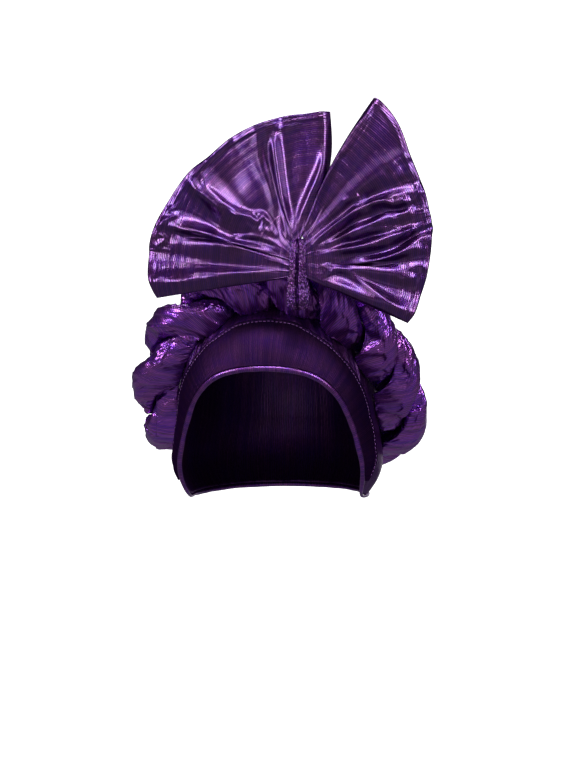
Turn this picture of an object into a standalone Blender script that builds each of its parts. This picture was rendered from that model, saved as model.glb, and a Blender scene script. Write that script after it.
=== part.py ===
"""Ready-tied head wrap: a crown cap with a forehead band and a rolled hem, a twisted padded roll round
the crown, and a large pleated bow at the front.

Origin: inside the top of the crown, where the wrap sits on a head. +Z is up and the front faces -Y.
Lengths below are in millimetres and angles in degrees; the meshes are built in metres.
"""

import math

import bpy
from mathutils import Vector

MM = 0.001
HALVINGS = 30
PROBE_STEP = 0.5
FINE_STEPS = 40


def table(columns, *rows):
    """A table's rows by the names of its columns, which are given in one string."""
    return [dict(zip(columns.split(), row)) for row in rows]


# Cloth walls, and the gaps that pieces keep
CAP_WALL = 2.0
BAND_WALL = 1.4
BAND_GAP = 0.8

# Crown cap: a dome over a widest section, then a skirt that draws in towards the neck
CROWN_TOP = CAP_WALL
WIDEST_HEIGHT = -95.0
DOME_POWER = 2.4
PLAN_POWER = 2.2
QUARTER_ARC = 135.0
CAP_COLUMNS = 44
CAP_ROWS = 10

# Outer sections of the skirt, from the widest one down
SKIRT_SECTIONS = table(
    "height half_width front back",
    (-95.0, 77.0, 96.0, 97.0),
    (-115.0, 79.5, 96.0, 95.0),
    (-130.0, 80.5, 95.0, 91.0),
    (-144.0, 76.5, 92.0, 84.0),
    (-158.0, 67.0, 84.0, 74.0),
)

# The hem, from the middle of the forehead round the face opening to the middle of the nape
HEM_LINE = table(
    "azimuth height",
    (0.0, -57.5),
    (14.0, -59.0),
    (28.0, -64.0),
    (40.0, -75.0),
    (48.0, -88.0),
    (54.0, -104.0),
    (58.0, -124.0),
    (64.0, -143.0),
    (76.0, -155.0),
    (100.0, -155.0),
    (125.0, -153.0),
    (150.0, -151.0),
    (180.0, -150.0),
)

# The band's sewn upper edge, from the middle of the forehead to the point below the temple
SEAM_LINE = table(
    "azimuth height",
    (0.0, -22.0),
    (20.0, -26.0),
    (40.0, -41.0),
    (56.0, -61.0),
    (68.0, -84.0),
    (74.0, -108.0),
    (73.0, -130.0),
    (68.0, -143.0),
)
BAND_TRIM = 0.05
BAND_COLUMNS = 40
BAND_ROWS = 3

# The rolled hem under the cap's edge
HEM_RADIUS = 2.1
HEM_GAP = 0.4
HEM_SIDES = 6

# The twisted roll: its line on the cap from the front to the nape, and its two padded strands
ROLL_LINE = table(
    "azimuth height",
    (0.0, -11.0),
    (35.0, -18.0),
    (62.0, -38.0),
    (80.0, -61.0),
    (91.0, -83.0),
    (104.0, -102.0),
    (135.0, -115.0),
    (180.0, -118.0),
)
STRAND_DEPTH = 16.5
STRAND_HALF_WIDTH = 15.5
STRAND_SPLIT = 0.4
STRAND_POWER = 2.2
STRAND_SIDES = 10
ROLL_STATIONS = 132
ROLL_GAP = 0.4
FULL_TWIST = 2160.0

# How far the strands have turned round each other at places along the roll, counted from the front
# round by the right to 1 at the front again; they turn fastest at the front and slowest at the nape
TWIST = table(
    "place turn",
    (0.149, 64.0),
    (0.228, 267.0),
    (0.360, 526.0),
    (0.658, 1069.0),
    (0.728, 1175.0),
    (0.825, 1358.0),
    (0.895, 1501.0),
    (1.149, 2224.0),
)

# The bow: its middle, and how its wings bend back round the roll and lean back at the top
BOW_MIDDLE = (26.5, -96.0, 14.6)
WING_WRAP = 0.0014
WING_LEAN = 0.10
WING_WALL = 2.6
WING_ROOT_EXTRA = 7.0
WING_ROOT_FADE = 0.16
WING_STEPS = 10
WING_SPLITS = 2

# Where each wing is gathered at the knot, as distances out from the bow's middle and up from it
WING_ROOT = table(
    "root out up",
    (0.0, 8.4, -6.0),
    (0.6, 6.7, 13.0),
    (1.0, 2.2, 29.0),
)

# Folds of each wing, from its low edge round to its inner edge. Every fold runs from the root to a
# point on the rim, given by its angle and reach from the bow's middle, bends sideways by "bend" half
# way, and stands forward by the four lifts along its length.
LEFT_FOLDS = table(
    "root angle reach bend near mid far rim",
    (0.00, 190.5, 111.0, 0.0, 0.0, -1.0, -2.0, -3.0),
    (0.10, 183.0, 115.4, -3.0, 4.0, 6.0, 8.0, 8.0),
    (0.20, 176.0, 116.9, 0.0, -1.0, -1.0, 2.0, 3.0),
    (0.30, 170.0, 117.7, -7.0, 3.5, 5.0, 1.0, 0.0),
    (0.38, 165.0, 117.2, -4.0, -1.5, -4.0, -2.0, 1.0),
    (0.43, 160.0, 116.0, 0.0, 1.0, -1.0, 4.0, 2.0),
    (0.49, 151.0, 114.1, 3.0, -2.0, -6.0, -5.0, 0.0),
    (0.55, 138.0, 112.8, 4.0, 4.5, 7.0, 8.0, 5.0),
    (0.60, 129.0, 111.2, 3.0, -2.0, -6.0, -6.0, -2.0),
    (0.64, 118.0, 113.0, 1.0, 0.5, 0.0, -1.0, 1.0),
    (0.68, 110.5, 113.3, 1.0, 2.5, 3.5, 2.5, 3.0),
    (0.73, 105.5, 113.8, 2.0, -2.0, -2.0, 0.0, 2.0),
    (0.79, 100.5, 114.7, 5.0, 4.0, 7.0, 7.0, 4.0),
    (0.85, 95.0, 116.2, 2.0, -2.0, -4.0, -3.0, 0.0),
    (0.90, 88.0, 117.1, -1.0, -1.0, 0.0, 2.0, 2.0),
    (0.95, 82.0, 119.5, -4.0, 4.0, 6.0, 5.0, 3.0),
    (1.00, 79.2, 120.5, -5.5, 0.0, -2.0, -2.0, -1.0),
)
RIGHT_FOLDS = table(
    "root angle reach bend near mid far rim",
    (0.00, -26.3, 90.0, 0.0, 0.0, -1.0, -2.0, -3.0),
    (0.12, -21.0, 92.4, 0.0, 5.0, 7.0, 7.0, 5.0),
    (0.20, -13.0, 92.4, 2.0, -1.0, 0.0, 0.0, 1.0),
    (0.27, -4.0, 94.7, 2.0, 1.0, 1.0, 3.0, 2.0),
    (0.33, 4.0, 97.1, 0.0, -2.0, -4.0, -1.0, 1.0),
    (0.39, 13.5, 101.4, -9.0, -1.0, 2.0, 6.0, 4.0),
    (0.44, 17.0, 103.6, -5.0, 0.0, -3.0, -3.0, 0.0),
    (0.49, 19.5, 104.3, -2.0, 4.0, 6.0, 6.0, 1.0),
    (0.53, 22.0, 105.3, 0.0, 0.0, -3.0, -1.0, 0.0),
    (0.58, 25.0, 106.2, 3.0, 3.0, 5.0, 3.0, 0.0),
    (0.62, 28.0, 107.7, 5.0, -1.0, -4.0, -3.0, 1.0),
    (0.68, 32.5, 110.1, 8.0, 4.0, 7.0, 4.0, 2.0),
    (0.74, 38.5, 112.9, 6.0, -2.0, -3.0, -4.0, -1.0),
    (0.80, 47.0, 119.6, 4.0, 1.0, 2.0, 2.0, 1.0),
    (0.87, 57.0, 132.5, 3.0, -2.0, -2.0, 0.0, 1.0),
    (0.95, 64.5, 139.7, 5.0, 4.0, 6.0, 5.0, 4.0),
    (1.00, 67.0, 140.2, 7.0, 0.0, -2.0, -2.0, -1.0),
)

# Sections of the knot, from its foot on the roll up to the top between the wings
KNOT_SECTIONS = table(
    "height half_width front back",
    (-30.0, 4.5, 5.0, -1.0),
    (-25.0, 8.0, 7.5, -6.9),
    (-14.0, 8.2, 8.5, -8.15),
    (-8.0, 6.6, 9.5, -8.45),
    (2.0, 6.2, 10.5, -8.0),
    (12.0, 6.0, 9.5, -8.0),
    (18.0, 4.6, 7.5, -6.0),
    (21.5, 2.6, 4.0, -3.0),
)
KNOT_SIDES = 22
KNOT_GATHERS = 7
KNOT_GATHER_DEPTH = 0.6
KNOT_SQUARENESS = 0.75

# Colours and gloss of the metallic cloth
CLOTH_COLOUR = (0.055, 0.010, 0.120, 1.0)
KNOT_COLOUR = (0.045, 0.009, 0.095, 1.0)
HEM_COLOUR = (0.080, 0.016, 0.170, 1.0)
CLOTH_ROUGHNESS = 0.38
KNOT_ROUGHNESS = 0.45
HEM_ROUGHNESS = 0.32
CLOTH_METALLIC = 0.8


def clear_scene():
    """Remove every object, so that the model starts from nothing."""
    for item in list(bpy.data.objects):
        bpy.data.objects.remove(item, do_unlink=True)


def make_collection(name):
    """A new collection in the scene."""
    collection = bpy.data.collections.new(name)
    bpy.context.scene.collection.children.link(collection)
    return collection


def make_material(name, colour, roughness):
    """A plain Principled material for the metallic cloth."""
    material = bpy.data.materials.new(name)
    material.use_nodes = True
    shader = material.node_tree.nodes["Principled BSDF"]
    shader.inputs["Base Color"].default_value = colour
    shader.inputs["Roughness"].default_value = roughness
    shader.inputs["Metallic"].default_value = CLOTH_METALLIC
    material.diffuse_color = colour
    return material


def cubic(before, start, end, after, share):
    """Catmull-Rom value between start and end."""
    slope_in = (end - before) / 2.0
    slope_out = (after - start) / 2.0
    square = share * share
    cube = square * share
    return (
        (2.0 * cube - 3.0 * square + 1.0) * start
        + (cube - 2.0 * square + share) * slope_in
        + (3.0 * square - 2.0 * cube) * end
        + (cube - square) * slope_out
    )


def read_rows(rows, place):
    """The values of a table at a place between its rows, counted 0 for the first and 1 for the last."""
    last = len(rows) - 1
    scaled = min(max(place, 0.0), 1.0) * last
    index = min(int(scaled), last - 1)
    share = scaled - index
    picks = [rows[max(index - 1, 0)], rows[index], rows[index + 1], rows[min(index + 2, last)]]
    return {name: cubic(*(row[name] for row in picks), share) for name in rows[0]}


def find_place(rows, column, value):
    """The place in a table where one of its rising or falling columns reaches a value."""
    low, high = 0.0, 1.0
    rising = rows[-1][column] > rows[0][column]
    for _ in range(HALVINGS):
        middle = (low + high) / 2.0
        if (read_rows(rows, middle)[column] < value) == rising:
            low = middle
        else:
            high = middle
    return (low + high) / 2.0


def read_by(rows, column, value):
    """The values of a table where one of its columns reaches a value."""
    return read_rows(rows, find_place(rows, column, value))


def even_places(point_at, count):
    """Places from 0 to 1 that cut a curve into count equal lengths."""
    fine = FINE_STEPS * count
    points = [point_at(step / fine) for step in range(fine + 1)]
    travelled = [0.0]
    for start, end in zip(points, points[1:]):
        travelled.append(travelled[-1] + (end - start).length)
    places = []
    step = 0
    for number in range(count + 1):
        wanted = travelled[-1] * number / count
        while step < fine - 1 and travelled[step + 1] < wanted:
            step += 1
        share = (wanted - travelled[step]) / (travelled[step + 1] - travelled[step])
        places.append((step + share) / fine)
    return places


def head_section(height):
    """Half width, front and back of the cap's outer section at a height."""
    widest = SKIRT_SECTIONS[0]
    if height <= WIDEST_HEIGHT:
        return read_by(SKIRT_SECTIONS, "height", height)
    rise = min((height - WIDEST_HEIGHT) / (CROWN_TOP - WIDEST_HEIGHT), 1.0)
    shrink = (1.0 - rise**DOME_POWER) ** (1.0 / DOME_POWER)
    return {name: value * shrink for name, value in widest.items()}


def signed_power(value, power):
    """The power of a number's size, with the number's own sign."""
    return math.copysign(abs(value) ** power, value)


def skin_point(azimuth, height):
    """A point on the cap's outer face; azimuth 0 is the front and 90 the right."""
    section = head_section(height)
    sine = signed_power(math.sin(math.radians(azimuth)), 2.0 / PLAN_POWER)
    cosine = signed_power(math.cos(math.radians(azimuth)), 2.0 / PLAN_POWER)
    length = section["front"] if cosine > 0.0 else section["back"]
    return Vector((section["half_width"] * sine, -length * cosine, height))


def skin_normal(azimuth, height):
    """The outward direction of the cap's face."""
    below = min(height, CROWN_TOP - 4.0 * PROBE_STEP)
    along = skin_point(azimuth + PROBE_STEP, below) - skin_point(azimuth - PROBE_STEP, below)
    down = skin_point(azimuth, below - PROBE_STEP) - skin_point(azimuth, below + PROBE_STEP)
    return down.cross(along).normalized()


def lifted_point(azimuth, height, lift):
    """A point at a distance outside the cap's face."""
    return skin_point(azimuth, height) + skin_normal(azimuth, height) * lift


def line_place(rows, travel):
    """A half line's row at a travel from -1, its far end on the left, to 1, its far end on the right."""
    row = read_rows(rows, abs(travel))
    side = 1.0 if travel >= 0.0 else -1.0
    return row["azimuth"] * side, row["height"]


def hem_stations():
    """Azimuth and height of each of the cap's columns at the hem, evenly spaced round the whole hem."""
    half = CAP_COLUMNS // 2
    places = even_places(lambda place: skin_point(*line_place(HEM_LINE, place)), half)
    right = [line_place(HEM_LINE, place) for place in places]
    left = [(-azimuth, height) for azimuth, height in reversed(right[1:-1])]
    return right + left


def height_along(share, hem_height):
    """The height at a share of the way from the crown's top down to the hem."""
    if hem_height > WIDEST_HEIGHT:
        rise = (hem_height - WIDEST_HEIGHT) / (CROWN_TOP - WIDEST_HEIGHT)
        full_turn = math.acos(rise ** (DOME_POWER / 2.0))
        turn = share * full_turn
    else:
        arc_share = QUARTER_ARC / (QUARTER_ARC + WIDEST_HEIGHT - hem_height)
        if share >= arc_share:
            below = (share - arc_share) / (1.0 - arc_share)
            return WIDEST_HEIGHT + (hem_height - WIDEST_HEIGHT) * below
        turn = share / arc_share * math.pi / 2.0
    return WIDEST_HEIGHT + (CROWN_TOP - WIDEST_HEIGHT) * math.cos(turn) ** (2.0 / DOME_POWER)


def cap_grid():
    """Rings of points from just under the crown's top down to the hem."""
    stations = hem_stations()
    rings = []
    for row in range(1, CAP_ROWS + 1):
        share = row / CAP_ROWS
        ease = share * share * (3.0 - 2.0 * share)
        ring = []
        for column, (hem_azimuth, hem_height) in enumerate(stations):
            even_azimuth = 360.0 * column / CAP_COLUMNS
            if even_azimuth > 180.0:
                even_azimuth -= 360.0
            azimuth = even_azimuth + (hem_azimuth - even_azimuth) * ease
            ring.append(skin_point(azimuth, height_along(share, hem_height)))
        rings.append(ring)
    return rings


def make_object(name, points, faces, material, collection):
    """A smooth-shaded object from points in millimetres."""
    mesh = bpy.data.meshes.new(name)
    mesh.from_pydata([point * MM for point in points], [], faces)
    mesh.materials.append(material)
    mesh.shade_smooth()
    item = bpy.data.objects.new(name, mesh)
    collection.objects.link(item)
    return item


def give_wall(item, thickness, offset):
    """Turn an open sheet into a cloth wall; offset -1 puts the wall inside the sheet."""
    solidify = item.modifiers.new("wall", "SOLIDIFY")
    solidify.thickness = thickness * MM
    solidify.offset = offset
    solidify.use_even_offset = True


def ring_faces(rings, columns):
    """Quads between neighbouring closed rings, numbered ring after ring."""
    faces = []
    for ring in range(rings - 1):
        for column in range(columns):
            beside = (column + 1) % columns
            faces.append(
                (
                    ring * columns + column,
                    (ring + 1) * columns + column,
                    (ring + 1) * columns + beside,
                    ring * columns + beside,
                )
            )
    return faces


def make_crown_cap(material, collection):
    """The dome and skirt of the cap, a thin wall open below."""
    rings = cap_grid()
    points = [point for ring in rings for point in ring]
    faces = ring_faces(CAP_ROWS, CAP_COLUMNS)
    top = len(points)
    points.append(Vector((0.0, 0.0, CROWN_TOP)))
    for column in range(CAP_COLUMNS):
        faces.append((column, (column + 1) % CAP_COLUMNS, top))
    item = make_object("crown_cap", points, faces, material, collection)
    give_wall(item, CAP_WALL, -1.0)
    return item


def make_front_band(material, collection):
    """The forehead band, a strip between the hem and the sewn seam."""
    half = BAND_COLUMNS // 2
    reach = find_place(HEM_LINE, "height", SEAM_LINE[-1]["height"])
    hem_places = even_places(lambda place: skin_point(*line_place(HEM_LINE, place * reach)), half)
    seam_places = even_places(lambda place: skin_point(*line_place(SEAM_LINE, place)), half)
    points = []
    for column in range(-half, half + 1):
        side = 1.0 if column >= 0 else -1.0
        hem_azimuth, hem_height = line_place(HEM_LINE, side * hem_places[abs(column)] * reach)
        seam_azimuth, seam_height = line_place(SEAM_LINE, side * seam_places[abs(column)])
        for row in range(BAND_ROWS + 1):
            share = BAND_TRIM + (1.0 - BAND_TRIM) * row / BAND_ROWS
            azimuth = hem_azimuth + (seam_azimuth - hem_azimuth) * share
            height = hem_height + (seam_height - hem_height) * share
            points.append(lifted_point(azimuth, height, BAND_GAP))
    faces = []
    stride = BAND_ROWS + 1
    for column in range(BAND_COLUMNS):
        for row in range(BAND_ROWS):
            first = column * stride + row
            faces.append((first, first + stride, first + stride + 1, first + 1))
    item = make_object("front_band", points, faces, material, collection)
    give_wall(item, BAND_WALL, 1.0)
    return item


def tube_sections(centres, radius, sides):
    """Round sections along a closed line, square to it."""
    count = len(centres)
    sections = []
    middle = sum(centres, Vector()) / count
    for index, centre in enumerate(centres):
        along = (centres[(index + 1) % count] - centres[index - 1]).normalized()
        outward = centre - middle
        outward = (outward - along * outward.dot(along)).normalized()
        across = along.cross(outward)
        section = []
        for side in range(sides):
            turn = 2.0 * math.pi * side / sides
            section.append(centre + outward * math.cos(turn) * radius + across * math.sin(turn) * radius)
        sections.append(section)
    return sections


def make_loop(name, sections, material, collection):
    """A closed loop lofted through sections with the same number of points."""
    sides = len(sections[0])
    count = len(sections)
    points = [point for section in sections for point in section]
    faces = []
    for index in range(count):
        after = (index + 1) % count
        for side in range(sides):
            beside = (side + 1) % sides
            faces.append(
                (index * sides + side, index * sides + beside, after * sides + beside, after * sides + side)
            )
    return make_object(name, points, faces, material, collection)


def make_edge_hem(material, collection):
    """The rolled hem, a round tube just beyond the cap's lower edge."""
    stations = hem_stations()
    count = len(stations)
    edge = [skin_point(*station) for station in stations]
    rings = cap_grid()
    centres = []
    for index, (azimuth, height) in enumerate(stations):
        along = (edge[(index + 1) % count] - edge[index - 1]).normalized()
        normal = skin_normal(azimuth, height)
        beyond = along.cross(normal).normalized()
        if beyond.dot(edge[index] - rings[-2][index]) < 0.0:
            beyond = -beyond
        centre = edge[index] - normal * (CAP_WALL / 2.0) + beyond * (HEM_RADIUS + HEM_GAP)
        centres.append(centre)
    return make_loop("edge_hem", tube_sections(centres, HEM_RADIUS, HEM_SIDES), material, collection)


def strand_reach():
    """The distance from the roll's centre line to the farthest point of a strand."""
    return max(math.hypot(*strand_section(side)) for side in range(STRAND_SIDES))


def roll_turn(place):
    """How far the strands have turned at a place, in radians."""
    if place < TWIST[0]["place"]:
        return roll_turn(place + 1.0) - math.radians(FULL_TWIST)
    return math.radians(read_by(TWIST, "place", place)["turn"])


def roll_centre(place):
    """A point on the roll's centre line; place runs from 0 at the front, to the right and round to 1."""
    travel = 2.0 * place if place <= 0.5 else 2.0 * place - 2.0
    azimuth, height = line_place(ROLL_LINE, travel)
    return lifted_point(azimuth, height, strand_reach() + ROLL_GAP)


def roll_frames():
    """Centre, outward and across directions at each station of the roll."""
    places = even_places(roll_centre, ROLL_STATIONS)[:-1]
    centres = [roll_centre(place) for place in places]
    frames = []
    for index, place in enumerate(places):
        travel = 2.0 * place if place <= 0.5 else 2.0 * place - 2.0
        azimuth, height = line_place(ROLL_LINE, travel)
        along = (centres[(index + 1) % ROLL_STATIONS] - centres[index - 1]).normalized()
        outward = skin_normal(azimuth, height)
        outward = (outward - along * outward.dot(along)).normalized()
        frames.append((centres[index], outward, along.cross(outward)))
    return frames


def strand_section(side):
    """A point of a strand's rounded section: its distance from the split and along it."""
    turn = 2.0 * math.pi * (side + 0.5) / STRAND_SIDES
    half_depth = STRAND_DEPTH / 2.0
    deep = STRAND_SPLIT + half_depth + half_depth * signed_power(math.cos(turn), 2.0 / STRAND_POWER)
    wide = STRAND_HALF_WIDTH * signed_power(math.sin(turn), 2.0 / STRAND_POWER)
    return deep, wide


def make_strand(name, start, material, collection):
    """One padded strand of the twist, wound round the roll's centre line."""
    sections = []
    for index, (centre, outward, across) in enumerate(roll_frames()):
        turn = start + roll_turn(index / ROLL_STATIONS)
        away = outward * math.cos(turn) + across * math.sin(turn)
        beside = across * math.cos(turn) - outward * math.sin(turn)
        section = []
        for side in range(STRAND_SIDES):
            deep, wide = strand_section(side)
            section.append(centre + away * deep + beside * wide)
        sections.append(section)
    return make_loop(name, sections, material, collection)


def fold_rows(folds, splits):
    """The folds of a wing and the rows between them."""
    count = (len(folds) - 1) * splits
    return [read_rows(folds, step / count) for step in range(count + 1)]


def lift_along(fold, share):
    """How far a fold stands forward at a share of its length."""
    stops = [{"lift": 0.0}] + [{"lift": fold[name]} for name in ("near", "mid", "far", "rim")]
    return read_rows(stops, share)["lift"]


def wing_point(fold, side, share):
    """A point of a wing's middle surface on a fold; side is -1 for the left wing and 1 for the right."""
    middle_x, middle_y, middle_z = BOW_MIDDLE
    root = read_by(WING_ROOT, "root", fold["root"])
    start = Vector((side * root["out"], 0.0, root["up"]))
    turn = math.radians(fold["angle"])
    rim = Vector((math.cos(turn), 0.0, math.sin(turn))) * fold["reach"]
    line = rim - start
    sideways = Vector((-line.z, 0.0, line.x)).normalized()
    flat = start + line * share + sideways * fold["bend"] * math.sin(math.pi * share)
    back = WING_WRAP * flat.x * flat.x + WING_LEAN * max(flat.z, 0.0)
    depth = middle_y + back - lift_along(fold, share)
    return Vector((middle_x + flat.x, depth, middle_z + flat.z))


def wing_wall(share):
    """The wall's thickness along a fold: one doubled cloth, bunched up at the knot."""
    return WING_WALL + WING_ROOT_EXTRA * math.exp(-((share / WING_ROOT_FADE) ** 2))


def make_wing(name, folds, side, material, collection):
    """A pleated fan of the bow, a wall between a front sheet and a back sheet."""
    rows = fold_rows(folds, WING_SPLITS)
    fronts = []
    backs = []
    for row in rows:
        for step in range(WING_STEPS + 1):
            share = step / WING_STEPS
            middle = wing_point(row, side, share)
            half_wall = Vector((0.0, wing_wall(share) / 2.0, 0.0))
            fronts.append(middle - half_wall)
            backs.append(middle + half_wall)
    stride = WING_STEPS + 1
    offset = len(fronts)
    faces = []
    for row in range(len(rows) - 1):
        for step in range(WING_STEPS):
            first = row * stride + step
            quad = (first, first + 1, first + stride + 1, first + stride)
            faces.append(quad)
            faces.append(tuple(index + offset for index in reversed(quad)))
    border = list(range(stride))
    border += [row * stride + WING_STEPS for row in range(1, len(rows))]
    border += [(len(rows) - 1) * stride + step for step in range(WING_STEPS - 1, -1, -1)]
    border += [row * stride for row in range(len(rows) - 2, 0, -1)]
    for start, end in zip(border, border[1:] + border[:1]):
        faces.append((end, start, start + offset, end + offset))
    if side < 0.0:
        faces = [tuple(reversed(face)) for face in faces]
    return make_object(name, fronts + backs, faces, material, collection)


def make_bow_knot(material, collection):
    """The gathered strip round the middle of the bow, closed at its foot and top."""
    middle_x, middle_y, middle_z = BOW_MIDDLE
    points = []
    for section in KNOT_SECTIONS:
        centre_depth = (section["front"] + section["back"]) / 2.0
        half_depth = (section["front"] - section["back"]) / 2.0
        for side in range(KNOT_SIDES):
            turn = 2.0 * math.pi * side / KNOT_SIDES
            gather = 1.0 + KNOT_GATHER_DEPTH / section["half_width"] * math.cos(KNOT_GATHERS * turn)
            across = section["half_width"] * signed_power(math.cos(turn), KNOT_SQUARENESS) * gather
            forward = centre_depth + half_depth * signed_power(math.sin(turn), KNOT_SQUARENESS) * gather
            points.append(
                Vector((middle_x + across, middle_y - forward, middle_z + section["height"]))
            )
    faces = ring_faces(len(KNOT_SECTIONS), KNOT_SIDES)
    last = (len(KNOT_SECTIONS) - 1) * KNOT_SIDES
    faces.append(tuple(range(KNOT_SIDES)))
    faces.append(tuple(last + side for side in reversed(range(KNOT_SIDES))))
    return make_object("bow_knot", points, faces, material, collection)


def build_head_wrap():
    """Build every piece of the head wrap."""
    clear_scene()
    collection = make_collection("head_wrap")
    cloth = make_material("metallic_cloth", CLOTH_COLOUR, CLOTH_ROUGHNESS)
    gathered = make_material("gathered_cloth", KNOT_COLOUR, KNOT_ROUGHNESS)
    rolled = make_material("rolled_hem_cloth", HEM_COLOUR, HEM_ROUGHNESS)
    make_crown_cap(cloth, collection)
    make_front_band(cloth, collection)
    make_edge_hem(rolled, collection)
    make_strand("twist_strand_a", 0.0, cloth, collection)
    make_strand("twist_strand_b", math.pi, cloth, collection)
    make_wing("bow_wing_left", LEFT_FOLDS, -1.0, cloth, collection)
    make_wing("bow_wing_right", RIGHT_FOLDS, 1.0, cloth, collection)
    make_bow_knot(gathered, collection)


build_head_wrap()
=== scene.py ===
"""Dresses a ready-tied turban hat: a gathered crown with a stitched forehead band and a rolled hem, a
twisted padded roll round it, and a large pleated bow of ribbed metallic cloth at the front.

The solids are the frame. Every piece here stands for one of them and keeps its place. Shapes are worked
out in millimetres and degrees, in the frame's own axes: +Z up, the front faces -Y, +X is the right.
"""

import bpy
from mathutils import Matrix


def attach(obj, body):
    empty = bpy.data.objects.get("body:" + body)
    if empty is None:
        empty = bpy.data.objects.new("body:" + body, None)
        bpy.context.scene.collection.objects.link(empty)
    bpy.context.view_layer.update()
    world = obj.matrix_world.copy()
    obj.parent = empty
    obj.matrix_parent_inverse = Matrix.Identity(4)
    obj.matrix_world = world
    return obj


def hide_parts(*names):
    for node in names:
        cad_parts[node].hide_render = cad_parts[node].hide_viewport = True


bl_info = {
    "name": "Turban hat",
    "version": (1, 0, 0),
    "blender": (4, 5, 0),
    "location": "3D View > Sidebar > Turban hat",
    "description": "Builds a ready-tied turban hat of ribbed metallic cloth round its frame",
    "category": "Add Mesh",
}

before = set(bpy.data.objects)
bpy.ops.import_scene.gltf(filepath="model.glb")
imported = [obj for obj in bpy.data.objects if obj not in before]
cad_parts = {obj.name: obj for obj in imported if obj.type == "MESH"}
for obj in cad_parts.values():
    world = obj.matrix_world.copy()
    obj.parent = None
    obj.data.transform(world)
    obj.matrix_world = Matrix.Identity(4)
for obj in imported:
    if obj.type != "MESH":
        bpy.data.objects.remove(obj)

import math
from collections import namedtuple

import bmesh
import bpy
import numpy as np
from bpy.props import FloatProperty, FloatVectorProperty, IntProperty, PointerProperty
from mathutils import Vector

BODY = "root"
MM = 0.001

# Places at which a curve is measured, and the cloth's own units, centimetres, in a metre
FINE = 4001
CLOTH_UNITS = 100.0


def table(columns, *rows):
    """A table's columns as arrays, by the names that one string gives."""
    values = np.array(rows, float)
    return {name: values[:, index] for index, name in enumerate(columns.split())}


# Crown: a dome over a widest section, then a skirt that draws in towards the neck
CROWN_TOP = 2.0
WIDEST_HEIGHT = -95.0
DOME_POWER = 2.4
PLAN_POWER = 2.2
QUARTER_ARC = 135.0
SKIRT_SECTIONS = table(
    "height half_width front back",
    (-95.0, 77.0, 96.0, 97.0),
    (-115.0, 79.5, 96.0, 95.0),
    (-130.0, 80.5, 95.0, 91.0),
    (-144.0, 76.5, 92.0, 84.0),
    (-158.0, 67.0, 84.0, 74.0),
)

# The hem, from the middle of the forehead round the face opening to the middle of the nape
HEM_LINE = table(
    "azimuth height",
    (0.0, -57.5),
    (14.0, -59.0),
    (28.0, -64.0),
    (40.0, -75.0),
    (48.0, -88.0),
    (54.0, -104.0),
    (58.0, -124.0),
    (64.0, -143.0),
    (76.0, -155.0),
    (100.0, -155.0),
    (125.0, -153.0),
    (150.0, -151.0),
    (180.0, -150.0),
)

# The band's sewn upper edge, from the middle of the forehead to the point below the temple
SEAM_LINE = table(
    "azimuth height",
    (0.0, -22.0),
    (20.0, -26.0),
    (40.0, -41.0),
    (56.0, -61.0),
    (68.0, -84.0),
    (74.0, -108.0),
    (73.0, -130.0),
    (68.0, -143.0),
)

# The twisted roll's line on the crown, from the front to the nape
ROLL_LINE = table(
    "azimuth height",
    (0.0, -6.5),
    (35.0, -14.5),
    (62.0, -37.0),
    (80.0, -61.0),
    (91.0, -83.0),
    (104.0, -102.0),
    (135.0, -115.0),
    (180.0, -118.0),
)

# How far the strands have turned round each other at places along the roll
FULL_TWIST = 2160.0
TWIST = table(
    "place turn",
    (0.149, 64.0),
    (0.228, 267.0),
    (0.360, 526.0),
    (0.658, 1069.0),
    (0.728, 1175.0),
    (0.825, 1358.0),
    (0.895, 1501.0),
    (1.149, 2224.0),
)
STRAND_DEPTH = 17.8
STRAND_HALF_WIDTH = 11.8
STRAND_SPLIT = 0.4
STRAND_POWER = 2.05
ROLL_STANDOFF = 18.6
PRESSED = 9.0

# The bow: its middle, how its wings bend back round the roll, and where they are gathered
BOW_MIDDLE = (26.5, -96.0, 14.6)
WING_WRAP = 0.0014
WING_LEAN = 0.10
WING_ROOT = table(
    "root out up",
    (0.0, 5.5, -6.0),
    (0.6, 3.8, 12.0),
    (1.0, -0.6, 27.0),
)

# The wings' inner edges meet a little to the right of the middle
INNER_EDGE_SHIFT = 3.4

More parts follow.
